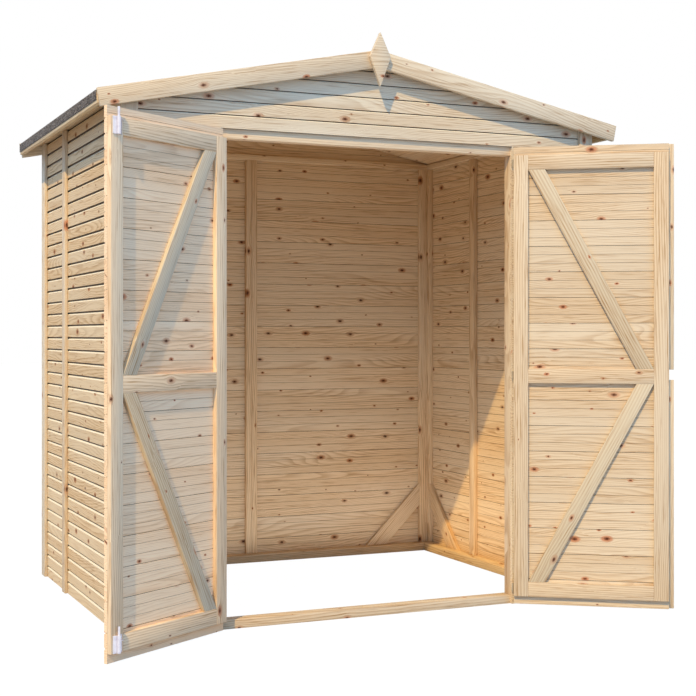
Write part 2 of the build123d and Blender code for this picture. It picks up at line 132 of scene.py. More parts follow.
class Desk:
    """Adds and links nodes in one shader tree or node group."""

    def __init__(self, tree: bpy.types.NodeTree) -> None:
        """Keeps the tree that the nodes go in."""
        self.tree = tree

    def feed(self, socket: Socket, value: Feed) -> None:
        """Links a socket to another, or sets its plain value.

        Args:
            socket: The input.
            value: What goes into it. A colour may leave out its alpha.
        """
        if isinstance(value, Socket):
            self.tree.links.new(value, socket)
        elif socket.type == "RGBA" and len(value) == 3:
            socket.default_value = (*value, 1.0)
        else:
            socket.default_value = value

    def fill(self, node: Node, feeds: Feeds) -> Node:
        """Feeds several inputs of a node.

        Args:
            node: The node.
            feeds: What goes into each input, by its name or number.

        Returns:
            The node.
        """
        for label, value in feeds.items():
            self.feed(node.inputs[label], value)
        return node

    def add(self, kind: str, feeds: Optional[Feeds] = None, **settings: object) -> Node:
        """Adds a node, sets its own options and feeds its inputs.

        Args:
            kind: The node's type, without its ShaderNode prefix.
            feeds: What goes into its inputs.
            settings: Attributes of the node.

        Returns:
            The new node.
        """
        node = self.tree.nodes.new("ShaderNode" + kind)
        for name, value in settings.items():
            setattr(node, name, value)
        return self.fill(node, feeds or {})

    def group(self, name: str, feeds: Feeds) -> Node:
        """Places a node group and feeds its inputs."""
        return self.add("Group", feeds, node_tree=bpy.data.node_groups[name])

    def sum(self, operation: str, first: Feed, second: Feed = 0.0, clamp: bool = False) -> Socket:
        """Works out one or two values by a Math operation, and clamps the result if asked."""
        feeds = {0: first, 1: second}
        return self.add("Math", feeds, operation=operation, use_clamp=clamp).outputs[0]

    def times(self, first: Feed, second: Feed, clamp: bool = False) -> Socket:
        """Multiplies two values."""
        return self.sum("MULTIPLY", first, second, clamp)

    def plus(self, first: Feed, second: Feed) -> Socket:
        """Adds two values."""
        return self.sum("ADD", first, second)

    def minus(self, first: Feed, second: Feed) -> Socket:
        """Takes the second value from the first."""
        return self.sum("SUBTRACT", first, second)

    def over(self, first: Feed, second: Feed) -> Socket:
        """Divides the first value by the second."""
        return self.sum("DIVIDE", first, second)

    def ramp(
        self, value: Feed, low: float, high: float, start: float = 0.0, end: float = 1.0
    ) -> Socket:
        """Maps a value smoothly from the range low to high to the range start to end."""
        feeds = dict(enumerate((value, low, high, start, end)))
        return self.add("MapRange", feeds, interpolation_type="SMOOTHSTEP").outputs[0]

    def blend(self, share: Feed, first: Feed, second: Feed, mode: str = "MIX") -> Socket:
        """Mixes two colours, with a share of the second one, in one of the Mix node's modes."""
        feeds = {0: share, 6: first, 7: second}
        return self.add("Mix", feeds, data_type="RGBA", blend_type=mode).outputs[2]

    def shade(self, colour: Feed, tone: Feed) -> Socket:
        """Multiplies a colour by one value."""
        return self.blend(1.0, colour, self.join(tone, tone, tone), "MULTIPLY")

    def split(self, vector: Feed) -> list[Socket]:
        """Returns the three parts of a vector."""
        return list(self.add("SeparateXYZ", {0: vector}).outputs)

    def join(self, first: Feed, second: Feed, third: Feed) -> Socket:
        """Joins three values into a vector."""
        return self.add("CombineXYZ", {0: first, 1: second, 2: third}).outputs[0]

    def stretch(self, parts: Sequence[Feed], scales: Triple) -> Socket:
        """Scales each of three values and joins them into a vector."""
        return self.join(*(self.times(part, scale) for part, scale in zip(parts, scales)))

    def cloud(self, vector: Feed, scale: float, detail: float, rough: float = 0.5) -> Socket:
        """Reads noise of a scale, with so many finer octaves of a strength."""
        feeds = {"Vector": vector, "Scale": scale, "Detail": detail, "Roughness": rough}
        return self.add("TexNoise", feeds).outputs["Fac"]

    def bump(self, height: Feed, strength: float, depth: float) -> Socket:
        """Turns a height into a normal, where a height of 1 is so deep in metres."""
        feeds = {"Strength": strength, "Distance": depth, "Height": height}
        return self.add("Bump", feeds).outputs["Normal"]

    def veil(self, share: Feed, first: Feed, second: Feed) -> Socket:
        """Mixes two shaders, with a share of the second one."""
        return self.add("MixShader", {0: share, 1: first, 2: second}).outputs[0]


def start_group(
    name: str, inputs: Sequence[tuple[str, str, float]], outputs: Sequence[tuple[str, str]]
) -> tuple[Desk, dict[str, Socket], Node]:
    """Starts a shader node group with named sockets.

    Args:
        name: The group's name.
        inputs: Name, socket type and default of each input.
        outputs: Name and socket type of each output.

    Returns:
        The group's desk, its input sockets by name, and its output node.
    """
    tree = bpy.data.node_groups.new(name, "ShaderNodeTree")
    for label, kind, default in inputs:
        socket = tree.interface.new_socket(
            name=label, in_out="INPUT", socket_type="NodeSocket" + kind
        )
        if kind == "Float":
            socket.default_value = default
    for label, kind in outputs:
        tree.interface.new_socket(name=label, in_out="OUTPUT", socket_type="NodeSocket" + kind)
    entry = tree.nodes.new("NodeGroupInput")
    leave = tree.nodes.new("NodeGroupOutput")
    return Desk(tree), {socket.name: socket for socket in entry.outputs if socket.name}, leave


def start_material(name: str) -> tuple[Material, Desk, Node]:
    """Starts a material with a Principled shader.

    Args:
        name: The material's name.

    Returns:
        The material, its desk and its shader.
    """
    material = bpy.data.materials.new(name)
    material.use_nodes = True
    return material, Desk(material.node_tree), material.node_tree.nodes["Principled BSDF"]


# ---------------------------------------------------------------- pine


class Grain(Enum):
    """Which of a piece's axes run along, across and into its timber."""

    ALONG_X = "xzy"
    ALONG_Y = "yzx"
    ALONG_Y_FLAT = "yxz"
    UPRIGHT = "zxy"


@dataclass(frozen=True)
class Turn:
    """A turn of the coordinates.

    Attributes:
        angles: The turn about each axis, in radians.
    """

    angles: Triple

    def apply(self, desk: Desk, place: Socket) -> Socket:
        """Turns the coordinates."""
        return desk.add("Mapping", {"Vector": place, "Rotation": self.angles}).outputs[0]


@dataclass(frozen=True)
class Fold:
    """Twins that mirror each other share one set of coordinates.

    Attributes:
        axis: Index of the axis that is folded.
        centre: Where the fold lies, in metres.
        shift: How far one twin's grain is moved along the next axis, so that they differ.
    """

    axis: int
    centre: float = 0.0
    shift: float = 3.7

    def apply(self, desk: Desk, place: Socket) -> Socket:
        """Folds the coordinates.

        Args:
            desk: Where the nodes go.
            place: The coordinates.

        Returns:
            The folded coordinates.
        """
        parts: list[Feed] = list(desk.split(place))
        offset = desk.minus(parts[self.axis], self.centre)
        side = desk.sum("GREATER_THAN", offset, 0.0)
        parts[self.axis] = desk.sum("ABSOLUTE", offset)
        other = (self.axis + 1) % 3
        parts[other] = desk.plus(parts[other], desk.times(side, self.shift))
        return desk.join(*parts)


@dataclass(frozen=True)
class Lie:
    """How a timber lies: the steps that square its coordinates, and its grain.

    Attributes:
        name: A word for the material's name.
        grain: The run of the grain once the coordinates are square.
        steps: Turns and folds, in order.
        board: Width of its separate boards, or 0 for a single timber.
        start: Where the first board starts.
    """

    name: str
    grain: Grain
    steps: tuple[Union[Turn, Fold], ...] = ()
    board: float = 0.0
    start: float = 0.0

    def square(self, desk: Desk) -> Socket:
        """Brings a piece's own coordinates to along, across and into its timber.

        Args:
            desk: Where the nodes go.

        Returns:
            The squared coordinates.
        """
        place: Socket = desk.add("TexCoord").outputs["Object"]
        for step in self.steps:
            place = step.apply(desk, place)
        parts = desk.split(place)
        return desk.join(*(parts["xyz".index(letter)] for letter in self.grain.value))


class Cut(Enum):
    """What a face of a board is, with the value that the boards' material reads."""

    # the boards' material paints shade into gaps and grooves and a highlight onto chamfers by these
    # values
    GAP = 1.0
    GROOVE = 0.5
    PLANED = 0.0
    CHAMFER = -1.0


@dataclass(frozen=True)
class PineFinish:
    """Planed, untreated knotty pine.

    Attributes:
        name: The finish's name.
        early: Colour of the pale early wood.
        late: Colour of the darker late wood.
        ruddy: Colour that broad patches lean to.
        knot: Colour of a knot's heart.
        halo: Colour of the wood round a knot.
        shade: Colour of the shade painted into a gap or a groove between boards.
        fresh: Colour of the highlight painted on a chamfer.
        knots: Share of places that hold a knot, 0 to 1.
        figure: Strength of the grain, 0 to 1.
        swirl: How far the rings wander from straight, in rings.
        dusty: How much of the painted shade's colour lies in a gap.
        bare: How much of the painted highlight's colour a chamfer has.
        fibre_strength: How much of the fibres' relief shows.
        fibre_depth: Depth of the fibres' relief, in metres.
        sheen: The untreated wood's specular level.
    """

    name: str
    early: Colour = paint(229, 214, 190)
    late: Colour = paint(178, 143, 104)
    ruddy: Colour = paint(227, 205, 174)
    knot: Colour = paint(88, 46, 28)
    halo: Colour = paint(202, 138, 102)
    shade: Colour = paint(62, 36, 16)
    fresh: Colour = paint(255, 246, 222)
    knots: float = 0.5
    figure: float = 0.5
    swirl: float = 26.0
    dusty: float = 0.85
    bare: float = 0.8
    fibre_strength: float = 0.4
    fibre_depth: float = 0.0005
    sheen: float = 0.12

    def material(self, lie: Lie) -> Material:
        """Makes, or finds, this finish for a timber that lies in one way.

        Args:
            lie: How the timber lies.

        Returns:
            The material.
        """
        name = f"{self.name}_{lie.name}"
        if name in bpy.data.materials:
            return bpy.data.materials[name]
        material, desk, shader = start_material(name)
        place = lie.square(desk)
        tint: Feed = 0.5
        if lie.board:
            feeds = {"Vector": place, "Start": lie.start, "Board Width": lie.board}
            shuffle = desk.group("board_shuffle", feeds)
            place, tint = shuffle.outputs["Vector"], shuffle.outputs["Tint"]
        figure = desk.group(
            "pine_figure",
            {
                "Vector": place,
                "Tint": tint,
                "Knots": self.knots,
                "Figure": self.figure,
                "Swirl": self.swirl,
                "Early Wood": self.early,
                "Late Wood": self.late,
                "Ruddy Wood": self.ruddy,
                "Knot": self.knot,
                "Halo": self.halo,
            },
        )
        colour: Feed = figure.outputs["Color"]
        if lie.board:
            # painted shade in the boards' gaps and grooves, and a painted highlight on their
            # chamfers, both set by the faces' seam value
            seam = desk.add("Attribute", attribute_name="seam").outputs["Fac"]
            colour = desk.blend(desk.times(seam, self.dusty, clamp=True), colour, self.shade)
            colour = desk.blend(desk.times(seam, -self.bare, clamp=True), colour, self.fresh)
        normal = desk.bump(figure.outputs["Height"], self.fibre_strength, self.fibre_depth)
        desk.fill(
            shader,
            {
                "Base Color": colour,
                "Roughness": figure.outputs["Roughness"],
                "Normal": normal,
                "Specular IOR Level": self.sheen,
            },
        )
        return material


@dataclass(frozen=True)
class PineWorkshop:
    """The node groups that every pine material uses.

    Attributes:
        board_shift: How far one board's grain may lie from the next one's, along it, in metres.
        board_skew: The same shift across the board, as a share of that along it.
        board_sink: How deep in the log a board's face may lie, in metres.
        knot_grid: Places for a knot in a metre, along and across.
        knot_draw: Which draws give the smallest and the largest knot.
        knot_girth: Radius of the smallest and the largest knot, in metres.
        knot_length: Width of a knot as a share of its length along the board.
        knot_wobble: Scale and depth, in metres, of the unevenness of a knot's outline.
        knot_least: Least radius that a knot is reckoned with, in metres.
        knot_edge: Where a knot's heart fades, in radii.
        knot_halo: Where the wood round a knot fades, in radii.
        knot_reach: How far the grain bends round a knot, in radii.
        knot_swirl: How fast a knot's own rings follow each other.
        knot_tone: How strong a knot's colour is between its rings and on them.
        halo_tone: How strong the colour round a knot may be, from the faintest to the strongest.
        ring_field: Scale of the field that the rings wander with, along, across and into the wood.
        ring_count: Rings in a metre across the board.
        ring_edge: Where the late wood starts and ends in a ring.
        quiet: Range of the field over which the figure wakes, and its share before and after.
        ruddy_patch: Range of the field over which the wood turns ruddy.
        streak_field: Scale of the fine streaks, along, across and into the wood.
        streak_octaves: Finer octaves of the streaks, and their strength.
        streak_range: Which part of their noise makes a streak.
        ring_share: How much the rings darken the wood.
        streak_share: How much the streaks darken it.
        fibre_field: Scale of the fibres' relief.
        tone: How dark and how pale a board may be.
        polish: Roughness of the early and of the late wood.
    """

    board_shift: float = 23.0
    board_skew: float = 0.37
    board_sink: float = 0.03
    knot_grid: Range = (5.4, 13.0)
    knot_draw: Range = (0.1, 1.1)
    knot_girth: Range = (0.0020, 0.0080)
    knot_length: float = 0.55
    knot_wobble: Range = (240.0, 0.0028)
    knot_least: float = 0.0001
    knot_edge: Range = (0.45, 0.95)
    knot_halo: Range = (0.95, 2.0)
    knot_reach: float = 1.5
    knot_swirl: float = 9.0
    knot_tone: Range = (0.7, 1.0)
    halo_tone: Range = (0.35, 0.95)
    ring_field: Triple = (0.9, 7.0, 7.0)
    ring_count: float = 120.0
    ring_edge: Range = (0.3, 0.88)
    quiet: Range = (0.3, 0.62, 0.45, 1.0)
    ruddy_patch: Range = (0.35, 0.7)
    streak_field: Triple = (7.0, 190.0, 190.0)
    streak_octaves: Range = (2.0, 0.65)
    streak_range: Range = (0.5, 0.78)
    ring_share: float = 0.6
    streak_share: float = 1.1
    fibre_field: Triple = (8.0, 420.0, 420.0)
    tone: Range = (0.97, 1.03)
    polish: Range = (0.58, 0.74)

    def board_shuffle(self) -> None:
        """Gives each board of a boarded face its own stretch of grain and its own tone."""
        desk, given, leave = start_group(
            "board_shuffle",
            (("Vector", "Vector", 0), ("Start", "Float", 0.0), ("Board Width", "Float", 0.05)),
            (("Vector", "Vector"), ("Tint", "Float")),
        )
        along, across, into = desk.split(given["Vector"])
        share = desk.over(desk.minus(across, given["Start"]), given["Board Width"])
        noise = desk.add("TexWhiteNoise", noise_dimensions="1D")
        desk.feed(noise.inputs["W"], desk.sum("FLOOR", share))
        _, depth, tint = desk.split(noise.outputs["Color"])
        shift = desk.times(noise.outputs["Value"], self.board_shift)
        moved = desk.join(
            desk.plus(along, shift),
            desk.plus(across, desk.times(shift, self.board_skew)),
            desk.plus(into, desk.times(depth, self.board_sink)),
        )
        desk.fill(leave, {"Vector": moved, "Tint": tint})

    def pine_figure(self) -> None:
        """Growth rings, fine streaks and knots, with the grain bending round each knot."""
        colours = ("Early Wood", "Late Wood", "Ruddy Wood", "Knot", "Halo")
        shares = ("Tint", "Knots", "Figure")
        desk, given, leave = start_group(
            "pine_figure",
            (
                ("Vector", "Vector", 0),
                *((share, "Float", 0.5) for share in shares),
                ("Swirl", "Float", 30.0),
                *((colour, "Color", 0) for colour in colours),
            ),
            (("Color", "Color"), ("Roughness", "Float"), ("Height", "Float")),
        )
        along, across, into = desk.split(given["Vector"])
        # one knot at most in each cell of a loose grid over the face
        grid_along, grid_face = self.knot_grid
        face = desk.plus(across, into)
        grid = desk.join(desk.times(along, grid_along), desk.times(face, grid_face), 0.0)
        cells = desk.add(
            "TexVoronoi", {"Vector": grid, "Scale": 1.0}, voronoi_dimensions="2D", feature="F1"
        )
        chance, girth, mood = desk.split(cells.outputs["Color"])
        present = desk.sum("LESS_THAN", chance, given["Knots"])
        away = desk.add("VectorMath", {0: grid, 1: cells.outputs["Position"]}, operation="SUBTRACT")
        off_along, off_face, _ = desk.split(away.outputs[0])
        off_along = desk.times(desk.over(off_along, grid_along), self.knot_length)
        off_face = desk.over(off_face, grid_face)
        heart = desk.times(present, desk.ramp(girth, *self.knot_draw, *self.knot_girth))
        squares = desk.plus(desk.times(off_along, off_along), desk.times(off_face, off_face))
        wobble_scale, wobble_depth = self.knot_wobble
        wobble = desk.minus(desk.cloud(given["Vector"], wobble_scale, 0.0), 0.5)
        apart = desk.plus(desk.sum("SQRT", squares), desk.times(wobble, wobble_depth))
        ratio = desk.over(apart, desk.sum("MAXIMUM", heart, self.knot_least))
        core = desk.times(present, desk.ramp(ratio, *self.knot_edge, 1.0, 0.0))
        halo = desk.times(present, desk.ramp(ratio, *self.knot_halo, 1.0, 0.0))
        # the grain parts round the knot as water parts round a stone
        reach = desk.times(heart, self.knot_reach)
        reach_two = desk.times(reach, reach)
        squeeze = desk.over(reach_two, desk.sum("MAXIMUM", desk.times(apart, apart), reach_two))
        squeeze = desk.times(desk.times(off_face, squeeze), present)
        bent = desk.minus(across, squeeze)
        # growth rings: contours of a field that is drawn out along the board
        wander = desk.cloud(desk.stretch((along, bent, into), self.ring_field), 1.0, 1.0)
        rings = desk.plus(desk.times(wander, given["Swirl"]), desk.times(bent, self.ring_count))
        rings = desk.sum("FRACT", rings)
        rise, fall = self.ring_edge
        late = desk.times(desk.ramp(rings, rise, fall), desk.ramp(rings, fall, 1.0, 1.0, 0.0))
        fine = desk.stretch((along, bent, into), self.streak_field)
        fine = desk.cloud(fine, 1.0, *self.streak_octaves)
        fine = desk.times(desk.ramp(fine, *self.streak_range), self.streak_share)
        streak = desk.plus(desk.times(late, self.ring_share), fine)
        # the figure is quiet in some stretches, and broad patches are ruddier
        streak = desk.times(streak, desk.ramp(wander, *self.quiet), clamp=True)
        streak = desk.times(streak, given["Figure"], clamp=True)
        patch = desk.ramp(wander, *self.ruddy_patch)
        wood = desk.blend(patch, given["Early Wood"], given["Ruddy Wood"])
        wood = desk.blend(streak, wood, given["Late Wood"])
        wood = desk.shade(wood, desk.ramp(given["Tint"], 0.0, 1.0, *self.tone))
        halo = desk.times(halo, desk.ramp(mood, 0.0, 1.0, *self.halo_tone))
        wood = desk.blend(halo, wood, given["Halo"])
        swirl = desk.sum("SINE", desk.times(ratio, self.knot_swirl))
        core = desk.times(core, desk.ramp(swirl, -1.0, 1.0, *self.knot_tone))
        wood = desk.blend(core, wood, given["Knot"])
        fibre = desk.cloud(desk.stretch((along, across, into), self.fibre_field), 1.0, 0.0)
        roughness = desk.ramp(streak, 0.0, 1.0, *self.polish)
        desk.fill(leave, {"Color": wood, "Roughness": roughness, "Height": fibre})


# ---------------------------------------------------------------- other finishes


@dataclass(frozen=True)
class FeltFinish:
    """Mineral-faced roofing felt.

    Attributes:
        name: The finish's name.
        bitumen: Colour between the granules.
        slate: Colour of most granules.
        pale: Colour of the palest granules.
        grit: Granules in a metre.
        stones: Range of the granules' draws over which they turn pale.
        gaps: Range of the distance from a granule's middle over which the bitumen shows.
        patch: Scale, octaves and their strength of the worn patches.
        wear: Range of their noise, and how dark and how pale they are.
        dome: Range of the distance over which a granule falls away.
        relief: Height of the granules, in metres.
        relief_strength: How much of it shows.
        roughness: The felt's roughness.
    """

    name: str = "mineral_felt"
    bitumen: Colour = paint(46, 42, 41)
    slate: Colour = paint(98, 91, 89)
    pale: Colour = paint(190, 182, 176)
    grit: float = 330.0
    stones: Range = (0.55, 1.0)
    gaps: Range = (0.3, 0.75)
    patch: Range = (9.0, 4.0, 0.6)
    wear: Range = (0.3, 0.75, 0.78, 1.1)
    dome: Range = (0.0, 0.8)
    relief: float = 0.0012
    relief_strength: float = 0.7
    roughness: float = 0.9

    def material(self) -> Material:
        """Makes the felt's material.

        Returns:
            The material.
        """
        material, desk, shader = start_material(self.name)
        place = desk.add("TexCoord").outputs["Object"]
        feeds = {"Vector": place, "Scale": self.grit}
        grit = desk.add("TexVoronoi", feeds, voronoi_dimensions="3D", feature="F1")
        middle = grit.outputs["Distance"]
        draw = desk.split(grit.outputs["Color"])[0]
        stone = desk.blend(desk.ramp(draw, *self.stones), self.slate, self.pale)
        stone = desk.blend(desk.ramp(middle, *self.gaps), stone, self.bitumen)
        worn = desk.ramp(desk.cloud(place, *self.patch), *self.wear)
        dome = desk.ramp(middle, *self.dome, 1.0, 0.0)
        desk.fill(
            shader,
            {
                "Base Color": desk.shade(stone, worn),
                "Roughness": self.roughness,
                "Normal": desk.bump(dome, self.relief_strength, self.relief),
            },
        )
        return material


@dataclass(frozen=True)
class ZincFinish:
    """Zinc plating on pressed steel.

    Attributes:
        name: The finish's name.
        bright: Colour of the plating.
        dull: Colour where the plating has clouded.
        clouds: Scale, octaves and their strength of the clouding.
        clouding: Range of its noise over which the plating turns dull.
        polish: Range of its noise, and the roughness before and after.
        metallic: How metallic the plating looks.
    """

    name: str = "bright_zinc"
    bright: Colour = paint(238, 238, 250)
    dull: Colour = paint(214, 214, 232)
    clouds: Range = (60.0, 4.0, 0.6)
    clouding: Range = (0.35, 0.7)
    polish: Range = (0.3, 0.75, 0.28, 0.45)
    metallic: float = 0.7

    def material(self) -> Material:
        """Makes the plating's material.

        Returns:
            The material.
        """
        material, desk, shader = start_material(self.name)
        place = desk.add("TexCoord").outputs["Object"]
        cloud = desk.cloud(place, *self.clouds)
        colour = desk.blend(desk.ramp(cloud, *self.clouding), self.bright, self.dull)
        roughness = desk.ramp(cloud, *self.polish)
        feeds = {"Base Color": colour, "Roughness": roughness, "Metallic": self.metallic}
        desk.fill(shader, feeds)
        return material


# ---------------------------------------------------------------- bench work


class Bench:
    """Shapes meshes with the operators that are used by hand.

    Attributes:
        FLAT: Faces that meet at less than this angle are one, in degrees.
        ARRIS: Edges from this angle on are arrises, in degrees.
        RIM: Edges from this angle on are a screw head's rims, in degrees.
        SIDES: Sides of a screw head.
    """

    FLAT = 1.0
    ARRIS = 35.0
    RIM = 50.0
    SIDES = 24

    @staticmethod
    def clear() -> None:
        """Leaves edit mode and deselects everything."""
        if bpy.context.object and bpy.context.object.mode != "OBJECT":
            Bench.leave()
        bpy.ops.object.select_all(action="DESELECT")

    @staticmethod
    def leave() -> None:
        """Leaves edit mode."""
        bpy.ops.object.mode_set(mode="OBJECT")

    @staticmethod
    def hold(piece: Piece) -> None:
        """Selects one piece and makes it active.

        Args:
            piece: The piece.
        """
        Bench.clear()
        piece.select_set(True)
        bpy.context.view_layer.objects.active = piece

    @staticmethod
    def open(piece: Piece) -> None:
        """Enters edit mode with the whole of a piece selected.

        Args:
            piece: The piece.
        """
        Bench.hold(piece)
        bpy.ops.object.mode_set(mode="EDIT")
        bpy.ops.mesh.select_all(action="SELECT")

    @staticmethod
    def settle() -> None:
        """Applies the held piece's place, turn and size to its mesh."""
        bpy.ops.object.transform_apply(location=True, rotation=True, scale=True)

    @staticmethod
    def block(name: str, low: Triple, high: Triple) -> Piece:
        """Adds a block between two corners, with its place in its mesh.

        Args:
            name: The piece's name.
            low: Lowest corner.
            high: Highest corner.

        Returns:
            The block.
        """
        Bench.clear()
        centre = [(a + b) / 2 for a, b in zip(low, high)]
        bpy.ops.mesh.primitive_cube_add(size=1.0, location=centre)
        piece = bpy.context.object
        piece.name = piece.data.name = name
        piece.scale = [b - a for a, b in zip(low, high)]
        Bench.settle()
        return piece

    @staticmethod
    def pick(piece: Piece, kind: str, test: Test) -> None:
        """Enters edit mode and selects the edges or faces that pass a test.

        Args:
            piece: The piece to edit.
            kind: EDGE or FACE.
            test: Says yes or no to an element's middle and its direction or normal.
        """
        if piece.mode != "EDIT":
            Bench.hold(piece)
            bpy.ops.object.mode_set(mode="EDIT")
        bpy.ops.mesh.select_mode(type=kind)
        bpy.ops.mesh.select_all(action="DESELECT")
        mesh = bmesh.from_edit_mesh(piece.data)
        if kind == "EDGE":
            for edge in mesh.edges:
                start, end = (vertex.co for vertex in edge.verts)
                edge.select_set(test((start + end) / 2, (end - start).normalized()))
        else:
            for face in mesh.faces:
                face.select_set(test(face.calc_center_median(), face.normal))
        mesh.select_flush_mode()
        bmesh.update_edit_mesh(piece.data)

    @staticmethod
    def plane_edges(piece: Piece, width: float, test: Test) -> None:
        """Planes a flat chamfer of a width on the edges that pass a test."""
        Bench.pick(piece, "EDGE", test)
        bpy.ops.mesh.bevel(offset=width, segments=1, affect="EDGES")

    @staticmethod
    def score(piece: Piece, spot: Triple, way: Triple, test: Test) -> None:
        """Scores a line, where a plane meets them, across the faces that pass a test."""
        Bench.pick(piece, "FACE", test)
        bpy.ops.mesh.bisect(plane_co=spot, plane_no=way)

    @staticmethod
    def raise_faces(piece: Piece, height: float, test: Test) -> None:
        """Extrudes the faces that pass a test upwards by a height."""
        Bench.pick(piece, "FACE", test)
        bpy.ops.mesh.extrude_region_move(TRANSFORM_OT_translate={"value": (0.0, 0.0, height)})

    @staticmethod
    def finish(piece: Piece, kind: str, **settings: object) -> None:
        """Adds a modifier and applies it.

        Args:
            piece: The piece to finish.
            kind: The modifier's type.
            settings: Its options.
        """
        Bench.hold(piece)
        bpy.ops.object.modifier_add(type=kind)
        modifier = piece.modifiers[-1]
        for name, value in settings.items():
            setattr(modifier, name, value)
        bpy.ops.object.modifier_apply(modifier=modifier.name)

    @staticmethod
    def ease(piece: Piece, width: float, steps: int, angle: float) -> None:
        """Rounds the edges of a piece that are at least as sharp as an angle, in degrees."""
        Bench.finish(
            piece,
            "BEVEL",
            width=width,
            segments=steps,
            limit_method="ANGLE",
            angle_limit=radians(angle),
        )

    @staticmethod
    def repeat(piece: Piece, count: int, step: Triple) -> None:
        """Repeats a piece at even steps, in its own mesh."""
        Bench.finish(
            piece,
            "ARRAY",
            count=count,
            use_relative_offset=False,
            use_constant_offset=True,
            constant_offset_displace=step,
        )

    @staticmethod
    def place(piece: Piece, turn: Triple, spot: Triple) -> None:
        """Turns a piece, moves it, and applies its place to its mesh.

        Args:
            piece: The piece.
            turn: The turn about each axis, in radians.
            spot: Where its bench origin goes.
        """
        Bench.hold(piece)
        piece.rotation_euler = turn
        piece.location = spot
        Bench.settle()

    @staticmethod
    def saw(piece: Piece, spot: Triple, waste: Triple) -> None:
        """Saws a piece by a plane and closes the cut.

        Args:
            piece: The piece.
            spot: A point on the plane.
            waste: Normal of the plane, towards what is taken off.
        """
        Bench.open(piece)
        bpy.ops.mesh.bisect(plane_co=spot, plane_no=waste, use_fill=True, clear_outer=True)
        Bench.leave()

    @staticmethod
    def join(pieces: Sequence[Piece], name: str) -> Piece:
        """Joins pieces into one object.

        Args:
            pieces: The pieces, two or more.
            name: The joined piece's name.

        Returns:
            The joined piece.
        """
        Bench.hold(pieces[0])
        for piece in pieces[1:]:
            piece.select_set(True)
        bpy.ops.object.join()
        joined = bpy.context.object
        joined.name = joined.data.name = name
        return joined

    @staticmethod
    def screws(
        name: str, spots: Sequence[Triple], radius: float = 0.0038, proud: float = 0.0012
    ) -> Piece:
        """Models one screw head on a face that looks towards -y, and copies it to each place.

        Args:
            name: The joined piece's name.
            spots: Where the heads sit on the face.
            radius: Radius of a head.
            proud: How far a head stands off the face.

        Returns:
            All the heads as one piece.
        """
        rim, dish, round_off = radius * 0.55, proud * 0.5, proud * 0.25
        Bench.clear()
        bpy.ops.mesh.primitive_cylinder_add(
            vertices=Bench.SIDES,
            radius=radius,
            depth=proud,
            location=(0.0, -proud / 2, 0.0),
            rotation=(pi / 2, 0.0, 0.0),
        )
        Bench.settle()
        model = bpy.context.object
        Bench.pick(model, "FACE", lambda mid, normal: normal.y < -ALIGNED)
        bpy.ops.mesh.inset(thickness=rim)
        bpy.ops.transform.translate(value=(0.0, dish, 0.0))
        Bench.leave()
        Bench.ease(model, round_off, 2, Bench.RIM)
        heads = []
        for spot in spots:
            Bench.hold(model)
            bpy.ops.object.duplicate(linked=False)
            heads.append(bpy.context.object)
            heads[-1].location = spot
            Bench.settle()
        bpy.data.objects.remove(model)
        return Bench.join(heads, name)

    @staticmethod
    def levels(node: str, apart: float = 0.1) -> list[float]:
        """Finds the heights at which the separate parts of a CAD node are centred.

        Args:
            node: The node's name.
            apart: Least gap between one part and the next one up.

        Returns:
            The heights, from the lowest up.
        """
        source = bpy.data.objects[node]
        heights = sorted((source.matrix_world @ vertex.co).z for vertex in source.data.vertices)
        groups = [[heights[0]]]
        for height in heights[1:]:
            if height - groups[-1][-1] > apart:
                groups.append([])
            groups[-1].append(height)
        return [(group[0] + group[-1]) / 2 for group in groups]

    @staticmethod
    def eased_copy(node: str, name: str, ease: float, steps: int = 2) -> Piece:
        """Copies a CAD node, merges its mesh and eases its arrises.

        Args:
            node: The node's name.
            name: The copy's name.
            ease: Width of the eased arris, in metres.
            steps: Segments of the round.

        Returns:
            The copy.
        """
        source = bpy.data.objects[node]
        piece = bpy.data.objects.new(name, source.data.copy())
        piece.data.name = name
        bpy.context.scene.collection.objects.link(piece)
        Bench.open(piece)
        bpy.ops.mesh.remove_doubles(threshold=NEAR / 10)
        bpy.ops.mesh.dissolve_limited(angle_limit=radians(Bench.FLAT))
        bpy.ops.mesh.normals_make_consistent(inside=False)
        Bench.leave()
        Bench.ease(piece, ease, steps, Bench.ARRIS)
        return piece


# ---------------------------------------------------------------- what is shared

# colours of the yellower pine of the walls, the roof boards and the studs
YELLOW_PINE: dict[str, Colour] = {
    "early": paint(230, 206, 169),
    "late": paint(172, 130, 85),
    "ruddy": paint(228, 198, 155),
    "knot": paint(70, 38, 20),
    "halo": paint(176, 116, 70),
}


def boarding(name: str, **colours: Colour) -> PineFinish:
    """Finish of narrow boards, which have the most knots and a swirling figure."""
    return PineFinish(name, knots=0.8, figure=0.72, **colours)


def timber(name: str, figure: float = 0.95, **colours: Colour) -> PineFinish:
    """Finish of sawn timbers, which have a straighter figure."""
    return PineFinish(name, figure=figure, swirl=9.0, **colours)


